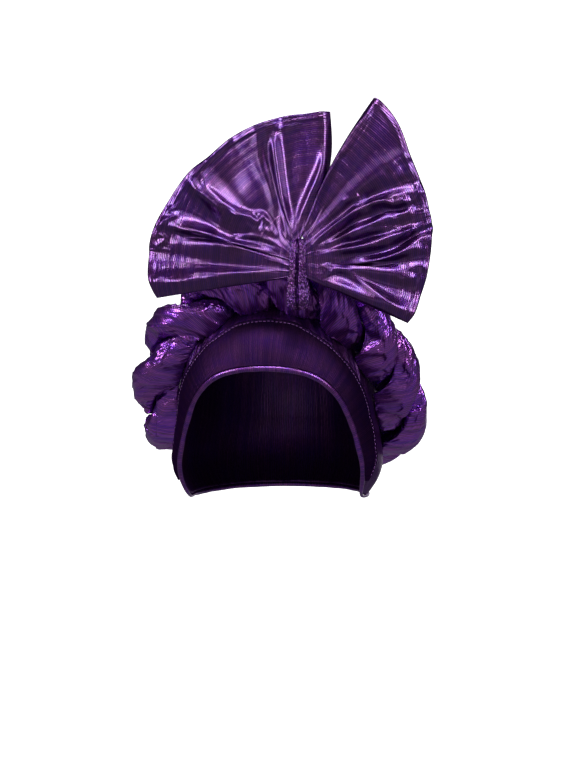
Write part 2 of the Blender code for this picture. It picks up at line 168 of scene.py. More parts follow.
# Folds of each wing from its low edge round to its inner edge. A fold runs from the root to its angle
# and reach on the rim, bends sideways half way, and stands forward by four lifts along its length.
FOLD_GROWTH = (0.5, 0.66, 0.82)
LEFT_FOLDS = table(
    "root angle reach bend near mid far rim",
    (0.00, 190.5, 111.0, 0.0, 0.0, 0.0, 0.5, 1.0),
    (0.045, 187.6, 112.6, -1.0, 4.4, 5.8, 6.8, 6.6),
    (0.095, 183.4, 115.0, -3.0, 5.4, 7.0, 8.6, 8.6),
    (0.14, 178.8, 116.3, -2.0, 1.6, 1.6, 2.3, 3.0),
    (0.20, 173.5, 116.9, 0.0, -1.0, -1.5, -1.5, -0.5),
    (0.30, 170.0, 117.7, -7.0, 3.5, 5.0, 1.0, 0.0),
    (0.38, 165.0, 117.2, -4.0, -1.5, -4.0, -2.0, 1.0),
    (0.43, 160.0, 116.0, 0.0, 1.0, -1.0, 4.0, 2.0),
    (0.49, 151.0, 114.1, 3.0, -2.0, -6.0, -5.0, 0.0),
    (0.55, 138.0, 112.8, 4.0, 2.5, 3.0, 3.0, 2.0),
    (0.60, 129.0, 111.2, 3.0, -1.5, -3.5, -4.0, -2.0),
    (0.64, 118.0, 113.0, 1.0, 0.0, -2.0, -2.0, -1.0),
    (0.68, 111.0, 113.3, 1.0, 0.5, -0.5, 0.5, 3.5),
    (0.73, 106.0, 113.8, 2.0, -0.5, -1.0, 1.0, 5.0),
    (0.79, 100.5, 114.7, 5.0, 3.0, 3.5, 3.5, 3.0),
    (0.85, 95.0, 116.2, 2.0, -2.0, -3.0, -2.5, -1.0),
    (0.90, 88.0, 117.1, -1.0, -1.0, -1.0, 0.0, 0.5),
    (0.95, 82.0, 119.5, -7.0, 3.4, 4.4, 4.0, 3.0),
    (1.00, 79.2, 120.5, -8.5, -1.0, -4.0, -4.0, -1.0),
)
RIGHT_FOLDS = table(
    "root angle reach bend near mid far rim",
    (0.00, -26.3, 90.0, 0.0, 0.0, 0.0, 0.0, 0.0),
    (0.045, -24.4, 91.0, 0.0, 3.8, 5.2, 5.4, 4.0),
    (0.11, -20.5, 92.4, 0.0, 5.4, 8.0, 8.0, 6.0),
    (0.20, -12.0, 92.4, 2.0, -1.5, -1.0, -0.5, 0.5),
    (0.27, -4.0, 94.7, 2.0, 1.0, 1.0, 3.0, 2.0),
    (0.33, 4.0, 97.1, 0.0, -2.0, -4.0, -1.0, 1.0),
    (0.39, 13.5, 101.4, -9.0, -1.0, 1.0, 3.5, 3.0),
    (0.44, 17.0, 103.6, -5.0, 0.0, -3.0, -3.0, 0.0),
    (0.49, 19.5, 104.3, -2.0, 3.0, 3.5, 3.5, 1.0),
    (0.53, 22.0, 105.3, 0.0, 0.0, -3.0, -1.0, 0.0),
    (0.58, 25.0, 106.2, 3.0, 2.0, 3.0, 2.0, 0.0),
    (0.62, 28.0, 107.7, 5.0, -1.0, -4.0, -3.0, 1.0),
    (0.68, 32.5, 110.1, 8.0, 3.0, 4.0, 2.5, 2.0),
    (0.74, 38.5, 112.9, 6.0, -2.0, -3.0, -4.0, -1.0),
    (0.80, 47.0, 119.6, 4.0, 1.0, 2.0, 2.0, 1.0),
    (0.87, 57.0, 132.5, 3.0, -2.0, -2.0, 0.0, 1.0),
    (0.95, 64.5, 139.7, 5.0, 4.0, 6.0, 5.0, 4.0),
    (1.00, 67.0, 140.2, 4.5, -1.0, 0.0, -1.0, -1.0),
)

# Sharp creases on the wings: height and width in millimetres, then the photograph's pixels that the
# crease runs through. One pixel on the bow is PIXEL_ON_BOW millimetres, and the bow's middle lies at
# BOW_PIXEL.
BOW_PIXEL = (298.7, 269.9)
CREASE_HEIGHT = 0.85
PIXEL_ON_BOW = 0.746
LEFT_CREASES = (
    (3.8, 2.9, (324, 143), (324, 162), (317, 181), (307, 202), (299, 224), (296, 238)),
    (4.8, 2.7, (273, 129), (274, 146), (277, 167), (281, 191), (284, 209), (287, 230), (291, 242)),
    (1.4, 2.2, (273, 129), (279, 127), (291, 126), (301, 122)),
    (2.2, 3.6, (262, 124), (258, 142), (262, 165), (269, 182), (275, 205), (281, 230)),
    (1.6, 1.8, (194, 167), (205, 158), (222, 143), (230, 136)),
    (1.8, 2.0, (200, 170), (204, 185), (214, 195), (228, 207), (238, 210)),
    (2.4, 1.8, (248, 212), (260, 213), (268, 221), (272, 229), (277, 239)),
    (5.2, 3.4, (186, 173), (192, 186), (201, 193), (209, 200), (217, 207), (224, 216)),
    (4.4, 2.6, (224, 217), (235, 214), (249, 216), (257, 221), (262, 218), (264, 227), (270, 234),
     (280, 243)),
    (2.0, 1.8, (180, 198), (170, 206), (164, 210), (172, 213), (163, 217), (156, 224), (154, 230)),
    (1.8, 1.8, (154, 230), (161, 237), (153, 244), (155, 249)),
    (3.4, 3.4, (172, 232), (186, 231), (200, 232), (216, 235)),
    (3.4, 2.6, (224, 247), (236, 244), (250, 246), (264, 249), (280, 254)),
    (1.8, 1.8, (228, 239), (242, 236), (262, 238), (280, 246)),
    (2.6, 2.6, (160, 279), (176, 281), (192, 280), (209, 278), (228, 275), (251, 273), (274, 270)),
    (3.0, 5.5, (148, 277), (156, 282), (168, 284), (184, 282), (200, 279)),
)
RIGHT_CREASES = (
    (4.2, 2.6, (373, 100), (357, 122), (341, 145), (329, 170), (318, 194), (311, 217), (308, 232)),
    (1.8, 1.6, (372, 108), (360, 129), (348, 147), (338, 159)),
    (4.6, 2.8, (360, 193), (357, 205), (347, 217), (334, 228), (321, 239), (310, 252)),
    (1.4, 1.8, (342, 202), (350, 200), (359, 196)),
    (3.8, 2.4, (363, 206), (372, 203), (384, 202), (393, 205), (403, 202), (412, 205)),
    (2.0, 1.8, (412, 205), (410, 209), (402, 213), (392, 213), (380, 212)),
    (3.6, 2.4, (330, 246), (346, 235), (357, 226), (372, 221), (386, 216), (397, 220)),
    (2.4, 2.2, (346, 241), (354, 238), (366, 233), (384, 230), (403, 229)),
    (4.6, 2.8, (328, 249), (344, 250), (366, 248), (387, 245), (401, 238), (407, 231), (405, 226)),
    (4.4, 2.8, (358, 263), (375, 261), (390, 257), (401, 252), (412, 242), (422, 235), (433, 233)),
    (1.8, 2.4, (402, 257), (414, 250), (426, 251)),
    (1.6, 2.4, (408, 269), (418, 266), (426, 268)),
    (1.4, 2.4, (398, 282), (407, 279), (414, 280)),
    (2.2, 2.4, (312, 268), (324, 274), (341, 270), (357, 279), (372, 289), (387, 300), (408, 314)),
    (2.0, 2.6, (326, 263), (328, 270), (332, 277)),
    (1.8, 4.0, (384, 172), (394, 160), (404, 156), (413, 160)),
    (1.6, 3.6, (386, 186), (396, 177), (408, 172), (418, 172)),
    (1.6, 1.8, (419, 179), (416, 188), (415, 197), (412, 204)),
)

# Sections of the knot, from its foot on the roll up to the top between the wings
KNOT_SECTIONS = table(
    "height half_width front back",
    (-30.0, 2.5, 4.0, -0.5),
    (-28.0, 6.2, 6.6, -4.5),
    (-23.0, 8.0, 8.4, -7.2),
    (-14.0, 7.8, 9.2, -8.15),
    (-7.0, 6.4, 10.2, -8.45),
    (2.0, 5.9, 11.0, -8.0),
    (12.0, 5.6, 10.4, -8.0),
    (19.0, 5.0, 8.6, -6.0),
    (23.0, 2.8, 4.0, -3.0),
)

# The photograph's camera, and the point that it looks at
CAMERA_AZIMUTH = 7.0
CAMERA_DISTANCE = 2.0
CAMERA_LENS = 120.2
SENSOR_WIDTH = 36.0
CAMERA_CLIP = (0.05, 50.0)
LOOK_RIGHT = 0.007
LOOK_HEIGHT = -0.0702


def length_setting(name, description, default, least=0.0):
    """A length that the panel shows with its unit."""
    return FloatProperty(name=name, description=description, default=default, min=least, unit="LENGTH")


def colour_setting(name, description, default):
    """A colour that the panel shows as a swatch."""
    return FloatVectorProperty(name=name, description=description, subtype="COLOR", size=3, default=default)


class TurbanSizes(bpy.types.PropertyGroup):
    """Sizes that a maker would change without changing the pattern."""

    rib_pitch: length_setting("Rib pitch", "Distance between the cloth's ribs", 0.00145, 0.0005)
    cap_wall: length_setting("Crown cloth", "Thickness of the crown's cloth", 0.002)
    band_wall: length_setting("Band cloth", "Thickness of the forehead band", 0.0014)
    hem_radius: length_setting("Hem radius", "Radius of the rolled hem", 0.0021)
    wing_wall: length_setting("Wing cloth", "Thickness of a doubled wing", 0.0026)
    stitch_pitch: length_setting("Stitch pitch", "Distance between stitches", 0.0031, 0.0005)
    filling: FloatProperty(
        name="Filling",
        description="How tightly the strands are stuffed",
        default=0.65,
        min=0.0,
        max=1.0,
        subtype="FACTOR",
    )
    seed: IntProperty(name="Seed", description="Seed of the small creases", default=11)


class TurbanColours(bpy.types.PropertyGroup):
    """Colours of the cloth, its thread and the floor."""

    cloth: colour_setting("Cloth", "The metallic cloth on its ribs", (0.118, 0.024, 0.186))
    blotch: colour_setting("Blotch", "The bluer tone of the cloth's broad blotches", (0.085, 0.010, 0.30))
    # The groove colour is partly the cloth's dark ground and partly painted shade in the grooves between the
    # ribs
    groove: colour_setting("Groove", "The dark ground between the ribs", (0.022, 0.012, 0.034))
    # Painted sheen: pinker streaks on random ribs that stand in for glints, partly the yarns' own uneven tone
    painted_sheen_and_yarn_tone: colour_setting("Sheen", "The brighter threads that show in streaks", (0.42, 0.10, 0.42))
    thread: colour_setting("Thread", "The sewing thread", (0.30, 0.12, 0.42))
    floor: colour_setting("Floor", "The pale floor", (0.93, 0.93, 0.93))


def sizes():
    """The scene's sizes."""
    return bpy.context.scene.turban_sizes


def colours():
    """The scene's colours."""
    return bpy.context.scene.turban_colours


def signed_power(value, power):
    """The power of each number's size, with the number's own sign."""
    return np.sign(value) * np.abs(value) ** power


def smooth(low, high, value):
    """A smooth step from 0 at low to 1 at high."""
    share = np.clip((value - low) / (high - low), 0.0, 1.0)
    return share * share * (3.0 - 2.0 * share)


def cubic(before, start, end, after, share):
    """Catmull-Rom values between start and end."""
    slope_in = (end - before) / 2.0
    slope_out = (after - start) / 2.0
    square = share * share
    cube = square * share
    return (
        (2.0 * cube - 3.0 * square + 1.0) * start
        + (cube - 2.0 * square + share) * slope_in
        + (3.0 * square - 2.0 * cube) * end
        + (cube - square) * slope_out
    )


def read_column(values, place):
    """One column's values at places between its rows, counted 0 for the first and 1 for the last."""
    last = len(values) - 1
    scaled = np.clip(place, 0.0, 1.0) * last
    index = np.minimum(scaled.astype(int), last - 1)
    before = values[np.maximum(index - 1, 0)]
    after = values[np.minimum(index + 2, last)]
    return cubic(before, values[index], values[index + 1], after, scaled - index)


def read_rows(rows, place):
    """A table's values at places between its rows."""
    place = np.asarray(place, float)
    return {name: read_column(values, place) for name, values in rows.items()}


def find_place(rows, column, value):
    """The places where one of a table's rising or falling columns reaches the values."""
    places = np.linspace(0.0, 1.0, FINE)
    values = read_column(rows[column], places)
    if values[-1] < values[0]:
        places, values = places[::-1], values[::-1]
    return np.interp(value, values, places)


def read_by(rows, column, value):
    """A table's values where one of its columns reaches the values."""
    return read_rows(rows, find_place(rows, column, value))


def travelled(points, closed=False):
    """How far along a line each of its points lies; a closed line ends with its whole length."""
    if closed:
        points = np.vstack([points, points[:1]])
    steps = np.linalg.norm(np.diff(points, axis=0), axis=1)
    return np.concatenate(([0.0], np.cumsum(steps)))


def even_places(point_at, count):
    """Places from 0 to 1 that cut a curve into count equal lengths, and the curve's length."""
    fine = np.linspace(0.0, 1.0, FINE)
    reached = travelled(point_at(fine))
    return np.interp(np.linspace(0.0, reached[-1], count + 1), reached, fine), reached[-1]


def full_turn(count, start=0.0):
    """Even angles of a whole turn."""
    return 2.0 * math.pi * (np.arange(count) + start) / count


def bell(distance, width):
    """A bell curve that is 1 at distance 0."""
    return np.exp(-((distance / width) ** 2))


def fade(distance, reach):
    """A value that falls from 1 at distance 0, and stays 1 on the other side of it."""
    return np.exp(-np.maximum(distance, 0.0) / reach)


def spread_out(values):
    """A table's columns as arrays that run down, to be met with arrays that run across."""
    return {name: column[:, None] for name, column in values.items()}


def soft_noise(across, along, seed, period=0):
    """Smooth random values from -1 to 1 over a plane; a period closes the pattern across."""
    lattice = np.random.default_rng(seed).uniform(-1.0, 1.0, (256, 256))
    column = np.floor(across).astype(int)
    row = np.floor(along).astype(int)
    right = across - column
    up = along - row
    right = right * right * (3.0 - 2.0 * right)
    up = up * up * (3.0 - 2.0 * up)
    wrap = period or 256
    first, second = column % wrap % 256, (column + 1) % wrap % 256
    low, high = row % 256, (row + 1) % 256
    bottom = lattice[first, low] * (1.0 - right) + lattice[second, low] * right
    top = lattice[first, high] * (1.0 - right) + lattice[second, high] * right
    return bottom * (1.0 - up) + top * up


def ridges(across, along, seed, period=0):
    """Sharp-crested random ridges from 0 to 1."""
    return (1.0 - np.abs(soft_noise(across, along, seed, period))) ** 3


def cap_section(height):
    """Half width, front and back of the crown's outer section at heights."""
    section = read_by(SKIRT_SECTIONS, "height", np.minimum(height, WIDEST_HEIGHT))
    rise = np.clip((height - WIDEST_HEIGHT) / (CROWN_TOP - WIDEST_HEIGHT), 0.0, 1.0)
    shrink = (1.0 - rise**DOME_POWER) ** (1.0 / DOME_POWER)
    return {name: section[name] * shrink for name in ("half_width", "front", "back")}


def skin_point(azimuth, height):
    """Points on the crown's outer face; azimuth 0 is the front and 90 the right."""
    section = cap_section(height)
    sine = signed_power(np.sin(np.radians(azimuth)), 2.0 / PLAN_POWER)
    cosine = signed_power(np.cos(np.radians(azimuth)), 2.0 / PLAN_POWER)
    length = np.where(cosine > 0.0, section["front"], section["back"])
    return np.stack([section["half_width"] * sine, -length * cosine, height + 0.0 * sine], axis=-1)


def unit(vectors):
    """The vectors at length 1."""
    return vectors / np.maximum(np.linalg.norm(vectors, axis=-1, keepdims=True), 1e-9)


def skin_normal(azimuth, height):
    """The outward directions of the crown's face."""
    step = 0.5
    below = np.minimum(height, CROWN_TOP - 4.0 * step)
    along = skin_point(azimuth + step, below) - skin_point(azimuth - step, below)
    down = skin_point(azimuth, below - step) - skin_point(azimuth, below + step)
    return unit(np.cross(down, along))


def cap_field(points):
    """A value that is 0 on the crown's face, negative inside it and positive outside."""
    height = points[..., 2]
    section = read_by(SKIRT_SECTIONS, "height", np.minimum(height, WIDEST_HEIGHT))
    length = np.where(points[..., 1] < 0.0, section["front"], section["back"])
    rise = np.maximum((height - WIDEST_HEIGHT) / (CROWN_TOP - WIDEST_HEIGHT), 0.0)
    plan = np.abs(points[..., 0] / section["half_width"]) ** PLAN_POWER
    plan = plan + np.abs(points[..., 1] / length) ** PLAN_POWER
    return (plan ** (DOME_POWER / PLAN_POWER) + rise**DOME_POWER) ** (1.0 / DOME_POWER) - 1.0


def cap_clearance(points):
    """How far points lie outside the crown's face, and the way out."""
    step = 0.5
    slope = []
    for axis in np.eye(3):
        slope.append((cap_field(points + axis * step) - cap_field(points - axis * step)) / (2.0 * step))
    slope = np.stack(slope, axis=-1)
    steepness = np.linalg.norm(slope, axis=-1)
    return cap_field(points) / np.maximum(steepness, 1e-6), unit(slope)


def line_point(rows, place):
    """Azimuths and heights along a half line; a negative place lies on the left."""
    row = read_rows(rows, np.abs(place))
    return row["azimuth"] * np.where(place < 0.0, -1.0, 1.0), row["height"]


def height_along(share, hem_height):
    """Heights at shares of the way from the crown's top down to the hem."""
    span = CROWN_TOP - WIDEST_HEIGHT
    rise = np.clip((hem_height - WIDEST_HEIGHT) / span, 0.0, 1.0)
    short_turn = share * np.arccos(rise ** (DOME_POWER / 2.0))
    drop = np.maximum(WIDEST_HEIGHT - hem_height, 0.0)
    arc_share = QUARTER_ARC / (QUARTER_ARC + drop)
    long_turn = np.minimum(share / arc_share, 1.0) * math.pi / 2.0
    turn = np.where(hem_height > WIDEST_HEIGHT, short_turn, long_turn)
    dome = WIDEST_HEIGHT + span * np.maximum(np.cos(turn), 0.0) ** (2.0 / DOME_POWER)
    below = (share - arc_share) / np.maximum(1.0 - arc_share, 1e-6)
    skirt = WIDEST_HEIGHT - drop * np.clip(below, 0.0, 1.0)
    return np.where((hem_height > WIDEST_HEIGHT) | (share < arc_share), dome, skirt)


def grid_faces(rows, columns, wrap_rows=False, wrap_columns=False):
    """Quads of a grid of points numbered row after row, with each one's corner rows and columns."""
    row = np.arange(rows if wrap_rows else rows - 1)
    column = np.arange(columns if wrap_columns else columns - 1)
    first_row, first_column = np.meshgrid(row, column, indexing="ij")
    corner_rows = np.stack([first_row, first_row + 1, first_row + 1, first_row], axis=-1).reshape(-1, 4)
    corner_columns = np.stack(
        [first_column, first_column, first_column + 1, first_column + 1], axis=-1
    ).reshape(-1, 4)
    faces = (corner_rows % rows) * columns + corner_columns % columns
    return faces, corner_rows, corner_columns


def place_object(name, data):
    """An object in the scene that shows some data."""
    item = bpy.data.objects.new(name, data)
    bpy.context.scene.collection.objects.link(item)
    return item


def make_piece(name, points, faces, cloth_places, material):
    """A smooth-shaded piece from points and faces, with the cloth's own coordinates at each corner."""
    mesh = bpy.data.meshes.new(name)
    mesh.from_pydata((points.reshape(-1, 3) * MM).tolist(), [], [list(face) for face in faces])
    if cloth_places is not None:
        layer = mesh.uv_layers.new(name="cloth")
        layer.data.foreach_set("uv", (cloth_places * MM * CLOTH_UNITS).astype(np.float32).ravel())
    mesh.materials.append(material)
    mesh.shade_smooth()
    mesh.validate()
    return place_object(name, mesh)


def turn_outward(item):
    """Make a closed mesh's faces point outwards."""
    work = bmesh.new()
    work.from_mesh(item.data)
    bmesh.ops.recalc_face_normals(work, faces=work.faces)
    work.to_mesh(item.data)
    work.free()


def give_wall(item, thickness):
    """Turn an open sheet into a cloth wall that lies inside the sheet."""
    solidify = item.modifiers.new("wall", "SOLIDIFY")
    solidify.thickness = thickness
    solidify.offset = -1.0
    solidify.use_even_offset = True


# What each piece of cloth stands for: the solid, its slot, and how its sheet is cut, held and laid
SHEETS = {
    "crown_cloth": ("crown_cap", "ribbed_lame", (0.60, 0.22), "gathered", 0.095, []),
    "forehead_band": ("front_band", "ribbed_lame", (0.42, 0.04), "stretched", 0.0112, ["crown_cloth"]),
    "rolled_hem": ("edge_hem", "hem_lame", (0.6, 0.01), "folded", 0.0043, ["crown_cloth"]),
    "left_wing": ("bow_wing_left", "ribbed_lame", (0.24, 0.14), "gathered", 0.0200, []),
    "right_wing": ("bow_wing_right", "ribbed_lame", (0.24, 0.14), "gathered", 0.0172, []),
    "knot_wrap": ("bow_knot", "gathered_lame", (0.05, 0.06), "gathered", 0.0026, ["left_wing"]),
}


def finish_sheet(item):
    """Tie a piece of cloth to the frame: what it rides on, and the solid it stands for, which is hidden."""
    node, slot, flat, held, area, rests_on = SHEETS[item.name]
    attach(item, BODY)
    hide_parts(node)


def made_once(store, name, make):
    """What a store of data holds under a name, made first where it isn't there yet."""
    return store.get(name) or make(name)


def group_tree(name, kind, inputs, outputs):
    """A node group with its sockets, the outputs of its first node and the inputs of its last one."""
    tree = bpy.data.node_groups.new(name, kind)
    for socket, socket_kind in inputs.items():
        tree.interface.new_socket(socket, in_out="INPUT", socket_type="NodeSocket" + socket_kind)
    for socket, socket_kind in outputs.items():
        tree.interface.new_socket(socket, in_out="OUTPUT", socket_type="NodeSocket" + socket_kind)
    return tree, tree.nodes.new("NodeGroupInput").outputs, tree.nodes.new("NodeGroupOutput").inputs


def feed(tree, socket, value):
    """Link an output into a socket, or give the socket a plain value."""
    if isinstance(value, bpy.types.NodeSocket):
        tree.links.new(value, socket)
    else:
        socket.default_value = value


def feed_all(tree, sockets, values):
    """Feed several of a node's inputs by their names or numbers."""
    for name, value in values.items():
        feed(tree, sockets[name], value)


def add_node(tree, kind, values, **settings):
    """A node with some settings, and with its inputs fed by outputs or plain values."""
    node = tree.nodes.new(kind)
    for name, value in settings.items():
        setattr(node, name, value)
    feed_all(tree, node.inputs, values)
    return node


def math_node(tree, operation, *values):
    """The result of a Math node fed by outputs or numbers."""
    return add_node(tree, "ShaderNodeMath", dict(enumerate(values)), operation=operation).outputs[0]


def noise_node(tree, vector, scale, detail, roughness=0.5):
    """The factor of a Noise Texture fed by a vector."""
    values = {"Vector": vector, "Scale": scale, "Detail": detail, "Roughness": roughness}
    return add_node(tree, "ShaderNodeTexNoise", values).outputs["Fac"]


def vector_node(tree, *values):
    """A vector from outputs or numbers."""
    return add_node(tree, "ShaderNodeCombineXYZ", dict(enumerate(values))).outputs[0]


def mix_node(tree, share, first, second):
    """A colour between two others."""
    return add_node(tree, "ShaderNodeMix", {0: share, 6: first, 7: second}, data_type="RGBA").outputs[2]


def range_node(tree, value, limits):
    """A value moved from one range into another."""
    return add_node(tree, "ShaderNodeMapRange", {"Value": value, **limits}).outputs["Result"]


def bump_node(tree, height, distance):
    """The direction of a face that a height lifts by a distance in metres."""
    return add_node(tree, "ShaderNodeBump", {"Height": height, "Distance": distance}).outputs["Normal"]


def new_material(name, values):
    """A material with some values of its Principled shader, its node tree, and the shader's inputs."""
    material = bpy.data.materials.new(name)
    material.use_nodes = True
    sockets = material.node_tree.nodes["Principled BSDF"].inputs
    feed_all(material.node_tree, sockets, values)
    return material, material.node_tree, sockets


def opaque(colour, brightness=1.0):
    """A colour scaled by a factor, with full alpha; on the cloth the factor paints light and shade, on the
    thread it darkens its uneven tone.
    """
    return (*[value * brightness for value in colour], 1.0)


# The tint that a metallic finish takes where it is seen edge on
EDGE_TINT = (0.45, 0.14, 0.55, 1.0)

# The ribs' pattern: how far they wander sideways, in centimetres, how much their own heights differ,
# how far dashes, crumples and long creases lift the cloth, and the scale of the noise behind each
RIB_WANDER = 0.18
WANDER_SCALES = (0.9, 1.6)
OWN_HEIGHT = (0.55, 0.45)
DASH_LIFT = 0.35
DASH_SCALE = 5.0
DASH_STEP = 3.7
DASH_ROUGHNESS = 0.65
CRUMPLE_LIFT = 6.0
CRUMPLE_SCALE = 9.0
CREASE_SCALES = (0.75, 2.1)
CREASE_SLOPE = 3.0
PATCH_SCALE = 0.45
PATCH_CONTRAST = (3.0, 0.8)
PATCH_LEAST = 0.1
# Where the streaks of painted sheen begin on the dashes, and how strongly they show
STREAK_START = 0.25
STREAK_SHARE = 0.8
BLOTCH_SCALE = 0.55
BLOTCH_RANGE = {"From Min": 0.38, "From Max": 0.68}


def rib_group(name):
    """Ribs of the cloth: their height, a crest mask that leaves painted shade in the grooves between them,
    and a streak mask of painted sheen on random ribs.
    """
    tree, given, results = group_tree(
        name,
        "ShaderNodeTree",
        {"Cloth Place": "Vector", "Pitch": "Float", "Crinkle": "Float", "Creases": "Float"},
        {"Height": "Float", "Crest": "Float", "Streak": "Float"},
    )

    def calc(operation, *values):
        return math_node(tree, operation, *values)

    def times(first, second):
        return calc("MULTIPLY", first, second)

    split = add_node(tree, "ShaderNodeSeparateXYZ", {0: given["Cloth Place"]})
    across, along = split.outputs[0], split.outputs[1]
    slow = vector_node(tree, times(across, WANDER_SCALES[0]), times(along, WANDER_SCALES[1]))
    bend = times(calc("SUBTRACT", noise_node(tree, slow, 1.0, 2.0), 0.5), RIB_WANDER)
    phase = calc("DIVIDE", calc("ADD", across, bend), given["Pitch"])
    number = calc("FLOOR", phase)
    white = add_node(tree, "ShaderNodeTexWhiteNoise", {"W": number}, noise_dimensions="1D")
    own = white.outputs["Value"]
    wave = calc("SINE", times(calc("FRACT", phase), math.pi))
    strips = vector_node(tree, times(number, DASH_STEP), along)
    dashes = noise_node(tree, strips, DASH_SCALE, 3.0, DASH_ROUGHNESS)
    crumple = noise_node(tree, vector_node(tree, across, along), CRUMPLE_SCALE, 3.0, 0.6)
    height = times(wave, calc("MULTIPLY_ADD", own, *OWN_HEIGHT))
    height = calc("MULTIPLY_ADD", dashes, DASH_LIFT, height)
    height = calc("MULTIPLY_ADD", crumple, times(given["Crinkle"], CRUMPLE_LIFT), height)
    long = vector_node(tree, times(across, CREASE_SCALES[0]), times(along, CREASE_SCALES[1]))
    crease = calc("ABSOLUTE", calc("SUBTRACT", noise_node(tree, long, 1.0, 2.0, 0.45), 0.5))
    crease = calc("SUBTRACT", 1.0, times(crease, CREASE_SLOPE))
    patch = noise_node(tree, vector_node(tree, across, along, 7.0), PATCH_SCALE, 1.0)
    patch = calc("SUBTRACT", times(patch, PATCH_CONTRAST[0]), PATCH_CONTRAST[1])
    patch = times(calc("MAXIMUM", patch, PATCH_LEAST), given["Creases"])
    feed(tree, results["Height"], calc("ADD", height, times(crease, patch)))
    # The crest mask is low in the grooves, where the groove colour paints shade between the ribs
    feed(tree, results["Crest"], calc("SMOOTH_MAX", wave, 0.0, 0.2))
    # Streaks of painted sheen on random ribs where the dashes rise
    streak = times(own, calc("SUBTRACT", dashes, STREAK_START))
    feed(tree, results["Streak"], times(streak, STREAK_SHARE))
    return tree


# Finishes of the cloth: its rib pitch as a share of the set one, the height of its relief in metres, its
# crinkles and long creases, how bright it is painted, and its roughness and gloss coat. That painted
# lightness stands in for light and shade on copies of one cloth: darker on the band, crown and wings,
# brighter on the knot, hem and strands.
Finish = namedtuple(
    "Finish",
    "pitch relief crinkle creases brightness roughness coat",
    defaults=(1.0, 0.00009, 0.12, 0.0, 0.8, 0.22, 0.8),
)
FINISHES = {
    "ribbed lame": Finish(),
    "gathered lame": Finish(pitch=0.8, relief=0.00022, crinkle=0.6, brightness=1.1, roughness=0.20),
    "hem lame": Finish(relief=0.00006, crinkle=0.1, brightness=1.35, roughness=0.26),
    "stretched lame": Finish(relief=0.00012, crinkle=0.06, brightness=0.17, roughness=0.46, coat=0.0),
    "crown lame": Finish(relief=0.00012, crinkle=0.15, brightness=0.55, roughness=0.36, coat=0.3),
    "padded lame": Finish(relief=0.0001, crinkle=0.15, creases=5.0, brightness=2.5, coat=1.0),
}
COAT_ROUGHNESS = 0.16
STREAK_ROUGHER = 0.10
STREAK_SMOOTHER = 0.08


def lame_material(name):
    """Ribbed metallic cloth that reads its place from the piece's own cloth coordinates."""
    finish = FINISHES[name]
    values = {
        "Metallic": 1.0,
        "Coat Weight": finish.coat,
        "Coat Roughness": COAT_ROUGHNESS,
        "Specular Tint": EDGE_TINT,
    }
    material, tree, sockets = new_material(name, values)
    place = add_node(tree, "ShaderNodeUVMap", {}, uv_map="cloth").outputs["UV"]
    pattern = {
        "Cloth Place": place,
        "Pitch": sizes().rib_pitch * CLOTH_UNITS * finish.pitch,
        "Crinkle": finish.crinkle,
        "Creases": finish.creases,
    }
    group = made_once(bpy.data.node_groups, "cloth ribs", rib_group)
    ribs = tree.nodes.new("ShaderNodeGroup")
    ribs.node_tree = group
    feed_all(tree, ribs.inputs, pattern)
    height, crest, streak = ribs.outputs
    paint = colours()
    blotches = range_node(tree, noise_node(tree, place, BLOTCH_SCALE, 3.0, 0.6), BLOTCH_RANGE)
    # Painted light and shade: the cloth's colours are scaled up or down for each piece's copy of the cloth
    colour = mix_node(
        tree, blotches, opaque(paint.cloth, finish.brightness), opaque(paint.blotch, finish.brightness)
    )
    # Painted shade: the grooves between the ribs take the groove colour, partly the cloth's own dark ground
    colour = mix_node(tree, crest, opaque(paint.groove), colour)
    # Painted sheen: the streaks mix in the brighter, pinker sheen colour
    colour = mix_node(tree, streak, colour, opaque(paint.painted_sheen_and_yarn_tone, finish.brightness))
    limits = {"To Min": finish.roughness + STREAK_ROUGHER, "To Max": finish.roughness - STREAK_SMOOTHER}
    normal = bump_node(tree, height, finish.relief)
    looks = {
        "Base Color": colour,
        "Roughness": range_node(tree, streak, limits),
        "Normal": normal,
        "Coat Normal": normal,
    }
    feed_all(tree, sockets, looks)
    return material


def cloth_material(name):
    """The cloth in one of its finishes, made once."""
    return made_once(bpy.data.materials, name, lame_material)


def thread_material(name):
    """Sewing thread, matt with a twist of two plies."""
    values = {"Metallic": 0.35, "Roughness": 0.42, "Sheen Weight": 0.2, "Specular Tint": EDGE_TINT}
    material, tree, sockets = new_material(name, values)
    place = add_node(tree, "ShaderNodeTexCoord", {}).outputs["Object"]
    shade = noise_node(tree, place, 900.0, 1.0)
    thread = colours().thread
    looks = {
        "Base Color": mix_node(tree, shade, opaque(thread, 0.55), opaque(thread)),
        "Normal": bump_node(tree, shade, 0.00005),
    }
    feed_all(tree, sockets, looks)
    return material


def skin_line(rows):
    """A function that gives points of a line on the crown's face by their places."""
    return lambda place: skin_point(*line_point(rows, place))


def round_hem(count):
    """Azimuths and heights of evenly spaced stations right round the hem."""
    places, _ = even_places(skin_line(HEM_LINE), count // 2)
    return line_point(HEM_LINE, np.concatenate((-places[::-1], places[1:-1])))


def seam_height(azimuth):
    """The height of the band's sewn edge at azimuths, as far round as it rises."""
    return np.interp(np.abs(azimuth), SEAM_LINE["azimuth"][:6], SEAM_LINE["height"][:6])


